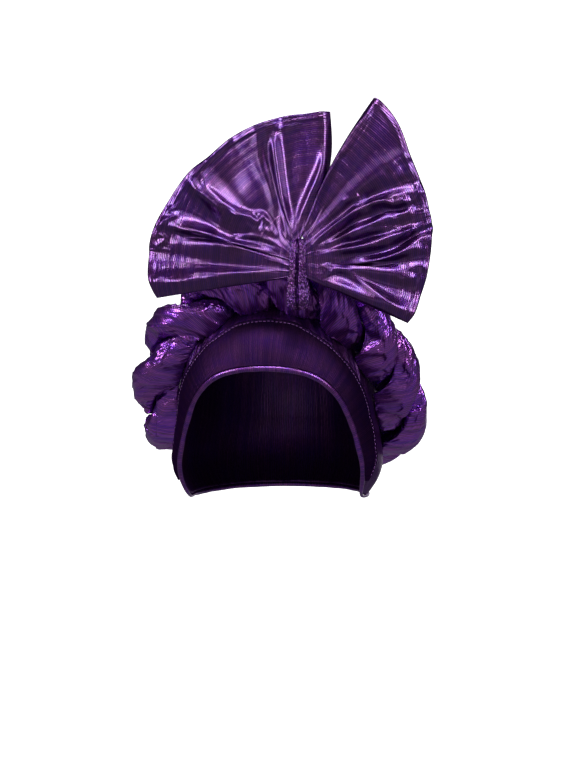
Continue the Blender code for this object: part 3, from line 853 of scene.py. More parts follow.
class BuildCrown(bpy.types.Operator):
    """Make the crown's dome and skirt, gathered into the band and the nape"""

    bl_idname = "turban.build_crown"
    bl_label = "Crown"

    columns = 400
    rows = 112

    # Heights of the folds: gathers above the band, soft folds at the sides, puckers at the nape, and
    # folds that run out from the top
    gather_height = 1.5
    side_height = 1.6
    side_share = 0.6
    pucker_height = 1.1
    top_height = 1.6
    settled = 0.1

    def execute(self, context):
        hem_azimuth, hem_height = round_hem(self.columns)
        even_azimuth = -180.0 + 360.0 * np.arange(self.columns) / self.columns
        share = (np.arange(1, self.rows + 1) / self.rows)[:, None]
        ease = share * share * (3.0 - 2.0 * share)
        azimuth = even_azimuth + (hem_azimuth - even_azimuth) * ease
        height = height_along(share, hem_height[None, :])
        lift = self.folds(azimuth, height, share, hem_height)
        points = skin_point(azimuth, height) + skin_normal(azimuth, height) * lift[..., None]
        around = travelled(points[-1], closed=True)
        down = travelled(points[:, self.columns // 2])
        faces, rows, columns = grid_faces(self.rows, self.columns, wrap_columns=True)
        places = np.stack([around[columns], down[rows]], axis=-1)
        fan = np.arange(self.columns)
        top = np.full(self.columns, points.shape[0] * points.shape[1])
        tips = np.stack([fan, (fan + 1) % self.columns, top], axis=-1)
        level = np.zeros(self.columns)
        corners = ((around[fan], level), (around[fan + 1], level), (around[fan], level - 1.0))
        tip_places = np.stack([np.stack(corner, axis=-1) for corner in corners], axis=1)
        item = make_piece(
            "crown_cloth",
            np.vstack([points.reshape(-1, 3), points[0].mean(axis=0)[None, :]]),
            faces.tolist() + tips.tolist(),
            np.vstack([places.reshape(-1, 2), tip_places.reshape(-1, 2)]),
            cloth_material("crown lame"),
        )
        give_wall(item, sizes().cap_wall)
        finish_sheet(item)
        return {"FINISHED"}

    def folds(self, azimuth, height, share, hem_height):
        """How far the cloth stands out in gathers above the band, soft folds and elastic puckers."""
        seed = sizes().seed
        above = height - seam_height(azimuth)
        aside = np.abs(azimuth)
        front = 1.0 - smooth(66.0, 78.0, aside)
        free = np.maximum(smooth(0.5, 3.0, above), 1.0 - front)
        wave = azimuth + 2.5 * soft_noise(azimuth / 9.0, height / 14.0, seed)
        gathers = ridges(wave / 3.1 + 200.0, height / 60.0, seed + 1)
        gathers = gathers * fade(above, 30.0) * front * self.gather_height
        soft = soft_noise(azimuth / 11.0 + 60.0, height / 45.0, seed + 2)
        soft = soft * smooth(58.0, 80.0, aside) * self.side_height * self.side_share
        nape = fade(height - hem_height, 16.0) * smooth(95.0, 140.0, aside)
        puckers = ridges(azimuth / 2.6 + 300.0, height / 50.0, seed + 3) * nape * self.pucker_height
        radial = ridges(azimuth / 9.0 + 90.0, share * 3.0, seed + 4, period=40)
        radial = radial * bell(share, 0.34) * smooth(0.0, 0.06, share) * self.top_height
        return (gathers + soft + puckers + radial) * free - self.settled


class BuildBand(bpy.types.Operator):
    """Make the forehead band with its folded, sewn upper edge"""

    bl_idname = "turban.build_band"
    bl_label = "Forehead band"

    columns = 460
    rows = 56

    # Distances from the sewn edge: the ridge on it, the groove that the stitches lie in, and how wide
    # the band still is where they end
    ridge_width = 1.1
    groove_from_edge = 2.3
    groove_width = 0.8
    sewn_width = 12.0

    # Heights: the whole band off the crown, the ridge, groove and puckers of its seam, its rounded
    # middle, its soft waves, and the stitches over the groove
    stand_off = 1.7
    ridge_height = 0.3
    groove_depth = 0.35
    pucker_height = 0.35
    puff_height = 0.7
    wave_height = 0.5
    stitch_lift = 0.15

    def execute(self, context):
        half = self.columns // 2
        reach = find_place(HEM_LINE, "height", SEAM_LINE["height"][-1])
        hem_line, seam_line = skin_line(HEM_LINE), skin_line(SEAM_LINE)
        hem_places, _ = even_places(lambda place: hem_line(place * reach), half)
        seam_places, _ = even_places(seam_line, half)
        hem_places = np.concatenate((-hem_places[::-1], hem_places[1:])) * reach
        seam_places = np.concatenate((-seam_places[::-1], seam_places[1:]))
        hem_azimuth, hem_height = line_point(HEM_LINE, hem_places)
        seam_azimuth, seam_heights = line_point(SEAM_LINE, seam_places)
        share = np.linspace(0.012, 1.0, self.rows)[None, :]
        azimuth = hem_azimuth[:, None] + (seam_azimuth - hem_azimuth)[:, None] * share
        height = hem_height[:, None] + (seam_heights - hem_height)[:, None] * share
        width = skin_point(seam_azimuth, seam_heights) - skin_point(hem_azimuth, hem_height)
        width = np.linalg.norm(width, axis=-1)[:, None]
        from_seam = (1.0 - share) * width
        outward = skin_normal(azimuth, height)
        points = skin_point(azimuth, height) + outward * self.lift(share, width, from_seam)[..., None]
        around = travelled(points[:, self.rows // 2])
        faces, rows, columns = grid_faces(self.columns + 1, self.rows)
        places = np.stack([around[rows], columns * 1.0], axis=-1)
        item = make_piece("forehead_band", points, faces, places, cloth_material("stretched lame"))
        give_wall(item, sizes().band_wall)
        finish_sheet(item)
        groove = np.argmin(np.abs(from_seam - self.groove_from_edge), axis=1)
        station = np.arange(len(points))
        seam = points[station, groove] + outward[station, groove] * self.stitch_lift
        make_stitches("band_stitches", seam[width[:, 0] > self.sewn_width])
        return {"FINISHED"}

    def lift(self, share, width, from_seam):
        """How far the band stands off the crown, with its seam, puckers and soft waves."""
        seed = sizes().seed
        along = np.arange(self.columns + 1)[:, None] * 0.9
        ridge = self.ridge_height * bell(from_seam, self.ridge_width)
        ridge = ridge - self.groove_depth * bell(from_seam - self.groove_from_edge, self.groove_width)
        pucker = self.pucker_height * soft_noise(along / 3.6, from_seam / 9.0, seed + 5)
        pucker = pucker * fade(from_seam, 9.0)
        rounded = np.sin(math.pi * np.clip(share, 0.0, 1.0))
        puff = self.puff_height * rounded * smooth(0.0, 14.0, width)
        waves = self.wave_height * soft_noise(along / 26.0 + 30.0, share * 1.6, seed + 6) * rounded
        return self.stand_off + ridge + pucker + puff + waves


def smooth_ring(values, reach):
    """A closed run of points, each taken as the mean of those near it."""
    total = sum(np.roll(values, step, axis=0) for step in range(-reach, reach + 1))
    return total / (2 * reach + 1)


class BuildHem(bpy.types.Operator):
    """Make the rolled hem just beyond the crown's lower edge"""

    bl_idname = "turban.build_hem"
    bl_label = "Rolled hem"

    stations = 560
    sides = 18

    # The roll is a little wider than it is deep, uneven, and thinner in front of the ears
    breadth = 1.05
    depth = 0.92
    uneven = 0.10
    ear_azimuth = 80.0
    ear_spread = 15.0
    ear_thinning = 0.42
    inside_point = (0.0, 0.0, -60.0)

    def execute(self, context):
        azimuth, height = round_hem(self.stations)
        edge = skin_point(azimuth, height)
        normal = skin_normal(azimuth, height)
        along = unit(np.roll(edge, -1, axis=0) - np.roll(edge, 1, axis=0))
        beyond = unit(np.cross(along, normal))
        flip = np.sum(beyond * (edge - np.array(self.inside_point)), axis=-1) < 0.0
        beyond = smooth_ring(np.where(flip[:, None], -beyond, beyond), 14)
        radius = sizes().hem_radius / MM
        number = np.arange(self.stations)
        uneven = soft_noise(number / 7.0, number * 0.0, sizes().seed + 7, period=80)
        thickness = 1.0 + self.uneven * uneven
        thickness = thickness - self.ear_thinning * bell(np.abs(azimuth) - self.ear_azimuth, self.ear_spread)
        centre = smooth_ring(edge + normal * 0.2 + beyond * (radius - 1.0), 5)
        across = np.cross(along, beyond)
        turn = full_turn(self.sides)
        ring = (
            beyond[:, None] * (np.cos(turn) * radius * self.breadth)[None, :, None]
            + across[:, None] * (np.sin(turn) * radius * self.depth)[None, :, None]
        )
        points = centre[:, None] + ring * thickness[:, None, None]
        faces, rows, columns = grid_faces(self.stations, self.sides, wrap_rows=True, wrap_columns=True)
        around = travelled(centre, closed=True)
        places = np.stack([around[rows], columns * 0.75], axis=-1)
        item = make_piece("rolled_hem", points, faces, places, cloth_material("hem lame"))
        turn_outward(item)
        finish_sheet(item)
        return {"FINISHED"}


def roll_frames(stations):
    """Centres, outward and across directions along the roll, and how far the strands have turned."""

    def line_at(place):
        return line_point(ROLL_LINE, np.where(place <= 0.5, 2.0 * place, 2.0 * place - 2.0))

    def centre_at(place):
        azimuth, height = line_at(place)
        return skin_point(azimuth, height) + skin_normal(azimuth, height) * ROLL_STANDOFF

    places, length = even_places(centre_at, stations)
    places = places[:-1]
    centres = centre_at(places)
    along = unit(np.roll(centres, -1, axis=0) - np.roll(centres, 1, axis=0))
    outward = skin_normal(*line_at(places))
    outward = unit(outward - along * np.sum(outward * along, axis=-1, keepdims=True))
    step = np.arange(stations) / stations
    early = step < TWIST["place"][0]
    turn = read_by(TWIST, "place", np.where(early, step + 1.0, step))["turn"]
    turn = np.radians(np.where(early, turn - FULL_TWIST, turn))
    return centres, outward, np.cross(along, outward), turn, length


def set_points(item, points):
    """Move a mesh's points, given in metres."""
    item.data.vertices.foreach_set("co", points.astype(np.float32).ravel())
    item.data.update()


def get_points(mesh):
    """A mesh's points in metres."""
    points = np.zeros(len(mesh.vertices) * 3, np.float32)
    mesh.vertices.foreach_get("co", points)
    return points.reshape(-1, 3).astype(float)


# The cloth simulation that blows up the padding: its settings, the pressure of loose and of tight
# filling, how much the cloth may grow, its frames, and the furthest that a point may move
CLOTH_SETTINGS = {
    "quality": 6,
    "mass": 0.2,
    "tension_stiffness": 12.0,
    "compression_stiffness": 12.0,
    "shear_stiffness": 4.0,
    "bending_stiffness": 0.25,
    "air_damping": 2.0,
    "use_pressure": True,
    "vertex_group_mass": "held",
}
LOOSE_PRESSURE = 4.0
FILLING_PRESSURE = 6.0
CLOTH_GROWTH = 0.03
SWELL_FRAMES = 14
SWELL_REACH = 0.0045


def swell(item, held):
    """Blow up a closed cloth piece by simulation; held points stay, and the new points come back."""
    scene = bpy.context.scene
    group = item.vertex_groups.new(name="held")
    group.add([int(index) for index in np.flatnonzero(held)], 1.0, "REPLACE")
    before = get_points(item.data)
    cloth = item.modifiers.new("swell", "CLOTH")
    for name, value in CLOTH_SETTINGS.items():
        setattr(cloth.settings, name, value)
    cloth.settings.uniform_pressure_force = LOOSE_PRESSURE + FILLING_PRESSURE * sizes().filling
    cloth.settings.shrink_min = -CLOTH_GROWTH
    cloth.settings.effector_weights.gravity = 0.0
    cloth.collision_settings.use_collision = False
    cloth.point_cache.frame_start = 1
    cloth.point_cache.frame_end = SWELL_FRAMES
    for number in range(1, SWELL_FRAMES + 1):
        scene.frame_set(number)
    evaluated = item.evaluated_get(bpy.context.evaluated_depsgraph_get())
    after = get_points(evaluated.to_mesh())
    evaluated.to_mesh_clear()
    item.modifiers.remove(cloth)
    item.vertex_groups.remove(group)
    scene.frame_set(1)
    move = after - before
    length = np.linalg.norm(move, axis=1, keepdims=True)
    move = move * np.minimum(1.0, SWELL_REACH / np.maximum(length, 1e-9))
    set_points(item, before + move)
    return before + move


def closed_round(pattern, side):
    """A pattern round a girth, blended so that it meets itself where the girth closes."""
    share = smooth(0.7, 1.0, side)
    return pattern(side) * (1.0 - share) + pattern(side - 1.0) * share


class BuildRoll(bpy.types.Operator):
    """Make the two padded strands that twist round each other on the crown"""

    bl_idname = "turban.build_roll"
    bl_label = "Twisted roll"

    stations = 600
    sides = 80

    # The strand's girth, its length as a share of the roll's, the depth up to which its inner side is
    # held, how it is drawn on to the crown, and the gaps kept to the other strand and to the crown
    girth = 92.0
    own_length = 1.12
    held_depth = 3.2
    pull = 1.7
    pull_reach = 13.0
    held_clearance = 6.0
    pull_gap = 0.8
    split_gap = 0.15
    crown_gap = 0.5

    # The strand's relief: each pattern with how often it goes along the strand and round it, and the
    # heights of the creases at the pinches, of the waves and of the creases drawn along the strand
    layers = {
        "patch": (soft_noise, 36, 2.0),
        "fine": (ridges, 150, 7.0),
        "broad": (ridges, 54, 3.0),
        "waves": (soft_noise, 30, 4.0),
        "drawn": (ridges, 44, 17.0),
    }
    pinch_reach = 14.5
    pinch_depth = 0.6
    fine_height = 2.2
    broad_height = 2.8
    wave_height = 1.2
    drawn_height = 0.5
    drawn_patch_height = 0.8

    def execute(self, context):
        self.strand("padded_strand_a", "twist_strand_a", 0.0, 20)
        self.strand("padded_strand_b", "twist_strand_b", math.pi, 40)
        return {"FINISHED"}

    def strand(self, name, node, start, seed_step):
        """One strand, pinched where it passes the other and pressed against the crown."""
        centres, outward, across, turn, length = roll_frames(self.stations)
        turn = (turn + start)[:, None]
        away = outward * np.cos(turn) + across * np.sin(turn)
        beside = across * np.cos(turn) - outward * np.sin(turn)
        angle = full_turn(self.sides, 0.5)
        half_depth = STRAND_DEPTH / 2.0
        deep = STRAND_SPLIT + half_depth + half_depth * signed_power(np.cos(angle), 2.0 / STRAND_POWER)
        wide = STRAND_HALF_WIDTH * signed_power(np.sin(angle), 2.0 / STRAND_POWER)
        local = away[:, None] * deep[None, :, None] + beside[:, None] * wide[None, :, None]
        inward = -np.sum(local * outward[:, None], axis=-1)
        beneath = np.clip(inward / STRAND_HALF_WIDTH, 0.0, 1.0) * np.abs(np.sin(turn))
        flank = np.clip(0.8 - np.cos(angle), 0.0, 1.0) * (deep - STRAND_SPLIT)
        local = local - away[:, None] * (beneath * flank)[..., None]
        lean = (STRAND_SPLIT + half_depth) * np.abs(np.cos(turn))
        belly = lean + np.hypot(STRAND_HALF_WIDTH * np.sin(turn), half_depth * np.cos(turn))
        stretch = np.maximum((ROLL_STANDOFF + PRESSED) / belly - 1.0, 0.0) * np.maximum(inward, 0.0)
        points = centres[:, None] + local - outward[:, None] * stretch[..., None]
        middle = centres + away * (STRAND_SPLIT + half_depth)
        points, pressed = self.press(points, unit(points - middle[:, None]))
        held = (deep[None, :] < self.held_depth) | pressed
        grid = grid_faces(self.stations, self.sides, wrap_rows=True, wrap_columns=True)
        faces, rows, columns = (found[:, ::-1] for found in grid)
        pitch = sizes().rib_pitch / MM
        own_length = round(self.own_length * length / pitch) * pitch
        places = [rows * own_length / self.stations, columns * self.girth / self.sides]
        item = make_piece(name, points, faces, np.stack(places, axis=-1), cloth_material("padded lame"))
        points = swell(item, held.ravel()).reshape(self.stations, self.sides, 3) / MM
        points = self.crinkle(points, deep, sizes().seed + seed_step)
        points = self.keep_clear(points, centres, away)
        set_points(item, points.reshape(-1, 3) * MM)
        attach(item, BODY)
        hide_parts(node)

    def press(self, points, facing):
        """Draw the side that faces the crown on to it, and say which points rest there."""
        clearance, way_out = cap_clearance(points)
        towards = np.clip(-self.pull * np.sum(facing * way_out, axis=-1), 0.0, 1.0)
        drawn_on = towards * np.clip(clearance - self.pull_gap, 0.0, self.pull_reach)
        pressed = (towards > 0.3) & (clearance < self.held_clearance)
        return points - way_out * drawn_on[..., None], pressed

    def keep_clear(self, points, centres, away):
        """Keep a strand on its own side of the roll's middle, and outside the crown."""
        local = np.sum((points - centres[:, None]) * away[:, None], axis=-1)
        points = points + away[:, None] * np.maximum(self.split_gap - local, 0.0)[..., None]
        clearance, way_out = cap_clearance(points)
        return points + way_out * np.maximum(self.crown_gap - clearance, 0.0)[..., None]

    def crinkle(self, points, deep, seed):
        """Creases that run out of the grooves where the strand is pinched, and along the strand."""
        station = np.arange(self.stations)[:, None] / self.stations
        side = np.arange(self.sides)[None, :] / self.sides
        after = np.roll(points, -1, axis=0) - np.roll(points, 1, axis=0)
        round_it = np.roll(points, -1, axis=1) - np.roll(points, 1, axis=1)
        normal = unit(np.cross(round_it, after))
        pinch = bell(deep[None, :], self.pinch_reach)
        relief = {}
        for step, (name, (pattern, along, across)) in enumerate(self.layers.items()):
            relief[name] = closed_round(
                lambda at: pattern(station * along, at * across, seed + step, period=along), side
            )
        patch = 0.35 + 0.65 * smooth(-0.2, 0.5, relief["patch"])
        pinched = (relief["fine"] * self.fine_height + relief["broad"] * self.broad_height) * pinch * patch
        drawn = relief["drawn"] * (self.drawn_height + self.drawn_patch_height * patch)
        lift = pinched + relief["waves"] * self.wave_height + drawn
        return points + normal * (lift - self.pinch_depth * pinch)[..., None]


# A crease starts and ends flat, and the cloth sinks a little beside its crest
CREASE_START = 0.22
CREASE_END = 0.78
CREST_SPREAD = 1.3
HOLLOW_SPREAD = 3.2
HOLLOW_SHARE = 0.35


def nearest_on_path(flat_x, flat_z, path):
    """How far places lie from a path, and how far along the path, from 0 to 1, each is nearest."""
    nearest = np.full(flat_x.shape, 1e9)
    travel = np.zeros_like(flat_x)
    for index, (start, end) in enumerate(zip(path[:-1], path[1:])):
        run = end - start
        length = max(float(run @ run), 1e-9)
        share = ((flat_x - start[0]) * run[0] + (flat_z - start[1]) * run[1]) / length
        share = np.clip(share, 0.0, 1.0)
        distance = np.hypot(flat_x - start[0] - share * run[0], flat_z - start[1] - share * run[1])
        closer = distance < nearest
        travel = np.where(closer, (index + share) / (len(path) - 1), travel)
        nearest = np.where(closer, distance, nearest)
    return nearest, travel


def crease_lift(flat_x, flat_z, creases):
    """How far sharp creases lift a wing's cloth at places beside and above the bow's middle."""
    lift = np.zeros_like(flat_x)
    for height, width, *pixels in creases:
        across, down = np.array(pixels, float).T
        line = ((across - BOW_PIXEL[0]) * PIXEL_ON_BOW, (BOW_PIXEL[1] - down) * PIXEL_ON_BOW)
        steps = np.linspace(0.0, 1.0, 6 * len(pixels))
        path = np.stack([read_column(values, steps) for values in line], axis=-1)
        nearest, travel = nearest_on_path(flat_x, flat_z, path)
        taper = smooth(0.0, CREASE_START, travel) * (1.0 - smooth(CREASE_END, 1.0, travel))
        hollow = bell(nearest, HOLLOW_SPREAD * width) * HOLLOW_SHARE
        lift += CREASE_HEIGHT * height * taper * (bell(nearest, CREST_SPREAD * width) - hollow)
    return lift


class BuildBow(bpy.types.Operator):
    """Make the bow's two pleated wings"""

    bl_idname = "turban.build_bow"
    bl_label = "Bow wings"

    rows = 250
    steps = 118
    row_crowding = 0.007
    step_crowding = 0.016

    # A wing is thicker where it is gathered at the knot, and rounded along its border
    gathered_wall = 7.0
    gathered_reach = 0.16
    fan_breadth = 240.0
    border_round = 1.7
    cloth_breadth = 220.0

    # Heights of the small folds: gathers at the knot, puckers along the rim, the ridge of the rim's
    # seam, and soft and fine unevenness between
    gather_height = 0.7
    pucker_height = 0.55
    seam_height = 0.5
    seam_from_rim = 4.5
    soft_height = 1.1
    fine_height = 0.08

    def execute(self, context):
        self.wing("left_wing", LEFT_FOLDS, LEFT_CREASES, -1.0, 60)
        self.wing("right_wing", RIGHT_FOLDS, RIGHT_CREASES, 1.0, 80)
        return {"FINISHED"}

    def spread(self, count, edge, both):
        """Places from 0 to 1 with some more close to the far edge, or to both edges."""
        crowding = np.array([0.0, 0.12, 0.32, 0.62, 1.0])
        tail = 1.0 - edge * crowding[::-1]
        head = edge * crowding if both else np.array([0.0])
        inner = np.linspace(head[-1], tail[0], count - len(head) - len(tail) + 2)[1:-1]
        return np.concatenate((head, inner, tail))

    def wing(self, name, folds, creases, side, seed_step):
        """A wing of doubled cloth, closed along its rim."""
        row = self.spread(self.rows, self.row_crowding, True)
        share = self.spread(self.steps, self.step_crowding, False)
        fold = spread_out(read_rows(folds, row))
        root = read_by(WING_ROOT, "root", fold["root"])
        turn = np.radians(fold["angle"])
        start_x = side * root["out"] + INNER_EDGE_SHIFT * fold["root"] ** 3
        start_z = root["up"]
        line_x = np.cos(turn) * fold["reach"] - start_x
        line_z = np.sin(turn) * fold["reach"] - start_z
        length = np.hypot(line_x, line_z)
        sway = fold["bend"] * np.sin(math.pi * share)[None, :] / length
        flat_x = start_x + line_x * share - line_z * sway
        flat_z = start_z + line_z * share + line_x * sway
        to_rim = (1.0 - share)[None, :] * length
        lift = self.lift_along(fold, share) + crease_lift(flat_x, flat_z, creases)
        lift += self.small_folds(row, share, to_rim, sizes().seed + seed_step)
        depth = BOW_MIDDLE[1] + WING_WRAP * flat_x**2 + WING_LEAN * np.maximum(flat_z, 0.0) - lift
        middle = np.stack([BOW_MIDDLE[0] + flat_x, depth, BOW_MIDDLE[2] + flat_z], axis=-1)
        wall = sizes().wing_wall / MM + self.gathered_wall * bell(share, self.gathered_reach)[None, :]
        to_edge = np.minimum(row, 1.0 - row)[:, None] * self.fan_breadth * (0.25 + 0.75 * share)[None, :]
        near = np.clip(np.minimum(to_rim, to_edge) / self.border_round, 0.0, 1.0)
        wall = wall * np.sqrt(1.0 - (1.0 - near) ** 2)
        wall[:, 0] = 0.0
        half_wall = np.zeros_like(middle)
        half_wall[..., 1] = wall / 2.0
        out = share[None, :] * length
        around = row[:, None] * self.cloth_breadth + 0.0 * out
        place = np.stack([out, around], axis=-1)
        self.close_wing(name, middle - half_wall, middle + half_wall, place)

    def close_wing(self, name, front, back, place):
        """Join a wing's two layers along its border and finish the piece."""
        rows, steps = front.shape[:2]
        behind = np.arange(rows * steps).reshape(rows, steps)
        inner = np.zeros((rows, steps), bool)
        inner[1:-1, 1:-1] = True
        behind[inner] = rows * steps + np.arange(inner.sum())
        faces, corner_rows, corner_steps = grid_faces(rows, steps)
        back_faces = behind.ravel()[faces][:, ::-1]
        front_places = place[corner_rows, corner_steps]
        back_places = front_places[:, ::-1]
        item = make_piece(
            name,
            np.vstack([front.reshape(-1, 3), back[inner]]),
            np.vstack([faces, back_faces]),
            np.vstack([front_places.reshape(-1, 2), back_places.reshape(-1, 2)]),
            cloth_material("ribbed lame"),
        )
        turn_outward(item)
        finish_sheet(item)

    def lift_along(self, fold, share):
        """How far each fold stands forward along its length."""
        grown = zip((0.0, *FOLD_GROWTH, 1.0), ("near", "near", "mid", "far", "rim"))
        stops = np.concatenate([growth * fold[name] for growth, name in grown], axis=1)
        scaled = np.clip(share, 0.0, 1.0) * 4.0
        index = np.minimum(scaled.astype(int), 3)
        before = stops[:, np.maximum(index - 1, 0)]
        after = stops[:, np.minimum(index + 2, 4)]
        return cubic(before, stops[:, index], stops[:, index + 1], after, scaled - index)

    def small_folds(self, row, share, to_rim, seed):
        """Gathers at the knot, puckers along the rim's seam and soft unevenness between."""
        across = row[:, None] + 0.0 * share[None, :]
        out = share[None, :] + 0.0 * across
        gathers = ridges(across * 17.0, out * 2.5, seed) * bell(out, 0.22) * self.gather_height
        pucker = ridges(across * 34.0 + 7.0, to_rim / 26.0, seed + 1) * fade(to_rim, 11.0)
        seam = self.seam_height * bell(to_rim - self.seam_from_rim, 1.1)
        soft = soft_noise(across * 9.0, out * 4.0, seed + 2) * self.soft_height * smooth(0.1, 0.4, out)
        fine = soft_noise(across * 40.0, out * 9.0, seed + 3) * self.fine_height
        return gathers + pucker * self.pucker_height + seam + soft + fine


class BuildKnot(bpy.types.Operator):
    """Make the gathered strip that is wound round the middle of the bow"""

    bl_idname = "turban.build_knot"
    bl_label = "Knot"

    sides = 240
    rows = 120

    # Heights of the pleats, of the finer ones, of the tucks across them and of the loose foot, the
    # depth and width of the split down the front, and how far the pleats drift round the knot
    pleat_height = 0.9
    fine_height = 0.5
    tuck_height = 0.5
    loose_height = 1.4
    split_depth = 2.8
    split_width = 0.13
    settled = 0.3
    drift = 0.35
    roundness = 0.75

    def execute(self, context):
        place = np.linspace(0.0, 1.0, self.rows)
        section = spread_out(read_rows(KNOT_SECTIONS, place))
        share = place[:, None]
        turn = full_turn(self.sides)[None, :]
        lift = self.gathers(share, turn)
        middle = (section["front"] + section["back"]) / 2.0
        half_depth = (section["front"] - section["back"]) / 2.0
        across = section["half_width"] * signed_power(np.cos(turn), self.roundness)
        forward = middle + half_depth * signed_power(np.sin(turn), self.roundness)
        across = across + lift * np.cos(turn)
        forward = forward + lift * np.sin(turn)
        upward = section["height"] + 0.0 * across
        points = [BOW_MIDDLE[0] + across, BOW_MIDDLE[1] - forward, BOW_MIDDLE[2] + upward]
        faces, rows, columns = grid_faces(self.rows, self.sides, wrap_columns=True)
        places = np.stack([columns * 0.24, rows * 0.45], axis=-1)
        last = (self.rows - 1) * self.sides
        ends = [list(range(self.sides)), [last + side for side in reversed(range(self.sides))]]
        end_places = np.zeros((2 * self.sides, 2))
        item = make_piece(
            "knot_wrap",
            np.stack(points, axis=-1),
            faces.tolist() + ends,
            np.vstack([places.reshape(-1, 2), end_places]),
            cloth_material("gathered lame"),
        )
        turn_outward(item)
        finish_sheet(item)
        return {"FINISHED"}

    def gathers(self, share, turn):
        """How far the pleats and tucks stand out round the knot, with the split down its front."""
        seed = sizes().seed + 100
        around = turn + self.drift * soft_noise(share * 5.0, turn * 0.0, seed)
        pleats = ridges(around / (2.0 * math.pi) * 22.0, share * 3.0, seed + 1)
        fine = ridges(around / (2.0 * math.pi) * 56.0, share * 26.0, seed + 2)
        tucks = ridges(share * 44.0, around * 2.2, seed + 3)
        beside = np.cos(turn) + 0.10 * np.sin(share * 6.0)
        split = np.where(np.sin(turn) > 0.0, bell(beside, self.split_width), 0.0)
        lift = self.pleat_height * pleats + self.fine_height * fine + self.tuck_height * tucks
        lift = lift - self.split_depth * split - self.settled
        loose = bell(share, 0.3) * self.loose_height
        return lift + loose * soft_noise(around * 2.6, share * 7.0, seed + 4)


# A stitch's share of the pitch, its thickness in metres, and how uneven the stitches' lengths are
STITCH_SHARE = 0.72
STITCH_THICKNESS = 0.00055
STITCH_LEAST = 0.82
STITCH_MOST = 1.12


def stitch_tree(name):
    """Stitches along a path: short rounded threads at an even pitch, a little uneven by a seed."""
    given = {
        "Geometry": "Geometry",
        "Pitch": "Float",
        "Length": "Float",
        "Thickness": "Float",
        "Seed": "Int",
        "Material": "Material",
    }
    tree, start, end = group_tree(name, "GeometryNodeTree", given, {"Geometry": "Geometry"})

    def geometry(kind, values, result="Geometry", **settings):
        return add_node(tree, "GeometryNode" + kind, values, **settings).outputs[result]

    path = geometry("MeshToCurve", {"Mesh": start["Geometry"]}, "Curve")
    spaced = {"Curve": path, "Length": start["Pitch"]}
    spaced = geometry("ResampleCurve", spaced, "Curve", mode="LENGTH")
    along = geometry("InputTangent", {}, "Tangent")
    turned = add_node(tree, "FunctionNodeAlignRotationToVector", {"Vector": along}, axis="X")
    bead = geometry("MeshUVSphere", {"Segments": 8, "Rings": 6, "Radius": 0.5}, "Mesh")
    uneven = {2: STITCH_LEAST, 3: STITCH_MOST, "Seed": start["Seed"]}
    uneven = add_node(tree, "FunctionNodeRandomValue", uneven, data_type="FLOAT").outputs[1]
    longer = math_node(tree, "MULTIPLY", uneven, start["Length"])
    placed = {
        "Points": spaced,
        "Instance": bead,
        "Rotation": turned.outputs["Rotation"],
        "Scale": vector_node(tree, longer, start["Thickness"], start["Thickness"]),
    }
    placed = geometry("InstanceOnPoints", placed, "Instances")
    real = geometry("RealizeInstances", {"Geometry": placed})
    smoothed = geometry("SetShadeSmooth", {"Geometry": real})
    painted = geometry("SetMaterial", {"Geometry": smoothed, "Material": start["Material"]})
    feed(tree, end["Geometry"], painted)
    return tree


def make_stitches(name, path):
    """A run of stitches along a path in millimetres."""
    edges = [(index, index + 1) for index in range(len(path) - 1)]
    guide_mesh = bpy.data.meshes.new(name + "_path")
    guide_mesh.from_pydata((path * MM).tolist(), edges, [])
    guide = place_object(name + "_path", guide_mesh)
    modifier = guide.modifiers.new("stitches", "NODES")
    modifier.node_group = made_once(bpy.data.node_groups, "stitch run", stitch_tree)
    values = {
        "Pitch": sizes().stitch_pitch,
        "Length": sizes().stitch_pitch * STITCH_SHARE,
        "Thickness": STITCH_THICKNESS,
        "Seed": sizes().seed,
        "Material": made_once(bpy.data.materials, "sewing thread", thread_material),
    }
    for socket in modifier.node_group.interface.items_tree:
        if socket.in_out == "INPUT" and socket.name in values:
            modifier[socket.identifier] = values[socket.name]
    evaluated = guide.evaluated_get(bpy.context.evaluated_depsgraph_get())
    mesh = bpy.data.meshes.new_from_object(evaluated)
    if not mesh.polygons:
        raise RuntimeError(f"{name} came out empty")
    guide.modifiers.remove(modifier)
    bpy.data.objects.remove(guide)
    mesh.name = name
    item = place_object(name, mesh)
    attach(item, BODY)


# The floor's profile in metres: level, then curving up into a wall
FLOOR_HEIGHT = -0.42
FLOOR_COLUMNS = 96
FLOOR_ROWS = 40
FLOOR_PROFILE = table(
    "radius height",
    (1.0, 0.0),
    (2.0, 0.0),
    (2.8, 0.05),
    (3.3, 0.22),
    (3.7, 0.6),
    (3.9, 1.1),
    (4.0, 1.8),
    (4.0, 4.0),
)

# Softboxes by name: place and size in metres, and power in watts
LAMP_COLOUR = (1.0, 0.96, 1.0)
LAMP_AIM = Vector((0.0, 0.0, -0.03))
SOFTBOXES = {
    "overhead": ((0.0, -0.95, 1.75), (1.3, 0.3), 25.0),
    "upper": ((0.0, -1.6, 1.4), (1.9, 0.14), 5.0),
    "left": ((-1.4, -0.95, 0.7), (0.4, 0.9), 19.0),
    "right": ((1.4, -0.95, 0.7), (0.4, 0.9), 17.0),
    "front": ((0.1, -2.6, -0.1), (2.2, 1.4), 3.0),
    "behind": ((0.0, 1.1, 1.6), (1.2, 0.4), 18.0),
    "behind low": ((0.2, 2.6, 0.2), (2.0, 1.2), 4.5),
}

# The surroundings as the cloth reflects them, below and above the horizon, and as they light it
ROOM_LOW = (0.20, 0.19, 0.22, 1.0)
ROOM_HIGH = (0.045, 0.04, 0.06, 1.0)
HORIZON = {"From Min": -0.35, "From Max": 0.15}
ROOM_LIGHT = (0.6, 0.6, 0.6, 1.0)


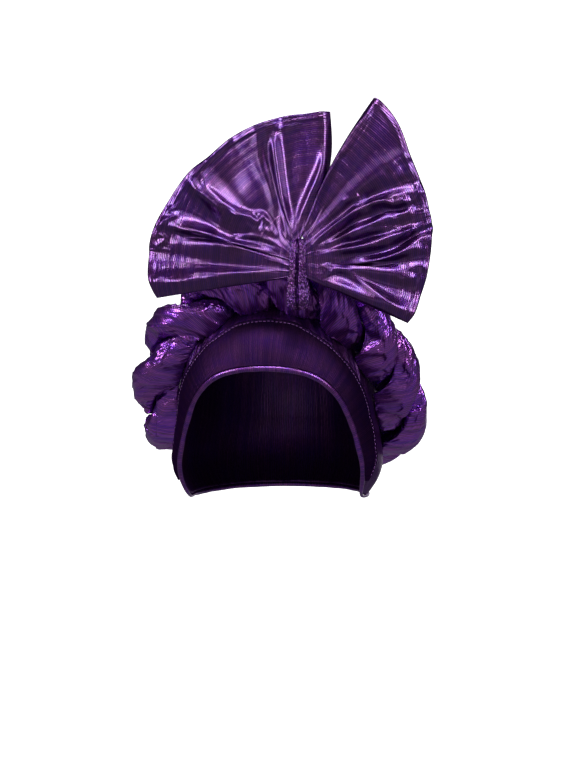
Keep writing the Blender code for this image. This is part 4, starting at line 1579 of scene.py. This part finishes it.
class BuildStage(bpy.types.Operator):
    """Make the pale floor, the soft lights and the camera"""

    bl_idname = "turban.build_stage"
    bl_label = "Stage"

    def execute(self, context):
        self.floor()
        self.world(context.scene)
        for name, values in SOFTBOXES.items():
            self.softbox(name, *values)
        self.camera(context.scene)
        return {"FINISHED"}

    def floor(self):
        """A round pale floor that curves up into a wall on all sides."""
        turn = full_turn(FLOOR_COLUMNS)[None, :]
        profile = spread_out(read_rows(FLOOR_PROFILE, np.linspace(0.0, 1.0, FLOOR_ROWS)))
        rise = FLOOR_HEIGHT + profile["height"] + 0.0 * turn
        points = np.stack([profile["radius"] * np.cos(turn), profile["radius"] * np.sin(turn), rise], axis=-1)
        faces, _, _ = grid_faces(FLOOR_ROWS, FLOOR_COLUMNS, wrap_columns=True)
        paint = opaque(colours().floor)
        values = {"Base Color": paint, "Roughness": 0.9, "Emission Color": paint, "Emission Strength": 1.0}
        material, _, _ = new_material("pale floor", values)
        rim = make_piece("floor", points / MM, faces[:, ::-1].tolist(), None, material)
        disc = bpy.data.meshes.new("floor_middle")
        disc.from_pydata(points[0].tolist(), [], [list(range(FLOOR_COLUMNS))])
        disc.materials.append(material)
        middle = place_object("floor_middle", disc)
        for part in (rim, middle):
            part.visible_glossy = False
            part.visible_diffuse = False
            part.visible_shadow = False

    def world(self, scene):
        """Even soft light, with a darker surrounding in reflections."""
        world = bpy.data.worlds.new("studio")
        world.use_nodes = True
        scene.world = world
        scene.view_settings.view_transform = "Standard"
        tree = world.node_tree
        rays = add_node(tree, "ShaderNodeLightPath", {})
        place = add_node(tree, "ShaderNodeTexCoord", {}).outputs["Generated"]
        split = add_node(tree, "ShaderNodeSeparateXYZ", {0: place})
        room = mix_node(tree, range_node(tree, split.outputs[2], HORIZON), ROOM_LOW, ROOM_HIGH)
        seen = mix_node(tree, rays.outputs["Is Glossy Ray"], ROOM_LIGHT, room)
        feed_all(tree, tree.nodes["Background"].inputs, {"Strength": 1.0, "Color": seen})

    def softbox(self, name, place, size, power):
        """An area light that faces the hat."""
        lamp = bpy.data.lights.new(name, "AREA")
        lamp.shape = "RECTANGLE"
        lamp.size, lamp.size_y = size
        lamp.energy = power
        lamp.color = LAMP_COLOUR
        item = place_object(name, lamp)
        item.location = place
        item.rotation_euler = (LAMP_AIM - Vector(place)).to_track_quat("-Z", "Y").to_euler()

    def camera(self, scene):
        """The camera at the photograph's angle."""
        turn = math.radians(CAMERA_AZIMUTH)
        right = Vector((math.cos(turn), math.sin(turn), 0.0))
        back = Vector((math.sin(turn), -math.cos(turn), 0.0))
        aim = right * LOOK_RIGHT + Vector((0.0, 0.0, LOOK_HEIGHT))
        lens = bpy.data.cameras.new("camera")
        lens.lens = CAMERA_LENS
        lens.sensor_width = SENSOR_WIDTH
        lens.clip_start, lens.clip_end = CAMERA_CLIP
        item = place_object("camera", lens)
        item.location = aim + back * CAMERA_DISTANCE
        item.rotation_euler = (-back).to_track_quat("-Z", "Y").to_euler()
        scene.camera = item


class TurbanPanel(bpy.types.Panel):
    """Lists the hat's pieces and their sizes"""

    bl_idname = "VIEW3D_PT_turban_hat"
    bl_label = "Turban hat"
    bl_space_type = "VIEW_3D"
    bl_region_type = "UI"
    bl_category = "Turban hat"

    def draw(self, context):
        for group in (context.scene.turban_sizes, context.scene.turban_colours):
            for name in group.__annotations__:
                self.layout.prop(group, name)
        for operator in OPERATORS:
            self.layout.operator(operator.bl_idname)


OPERATORS = (BuildCrown, BuildBand, BuildHem, BuildRoll, BuildBow, BuildKnot, BuildStage)
CLASSES = (TurbanSizes, TurbanColours, *OPERATORS, TurbanPanel)


def register():
    """Register the classes and the scene's settings."""
    for item in CLASSES:
        bpy.utils.register_class(item)
    bpy.types.Scene.turban_sizes = PointerProperty(type=TurbanSizes)
    bpy.types.Scene.turban_colours = PointerProperty(type=TurbanColours)


def unregister():
    """Take the settings and the classes out again."""
    del bpy.types.Scene.turban_colours
    del bpy.types.Scene.turban_sizes
    for item in reversed(CLASSES):
        bpy.utils.unregister_class(item)


def main():
    """Build the hat and the stage."""
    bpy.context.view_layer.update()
    register()
    bpy.ops.turban.build_crown()
    bpy.ops.turban.build_band()
    bpy.ops.turban.build_hem()
    bpy.ops.turban.build_roll()
    bpy.ops.turban.build_bow()
    bpy.ops.turban.build_knot()
    bpy.ops.turban.build_stage()


if __name__ == "__main__":
    main()
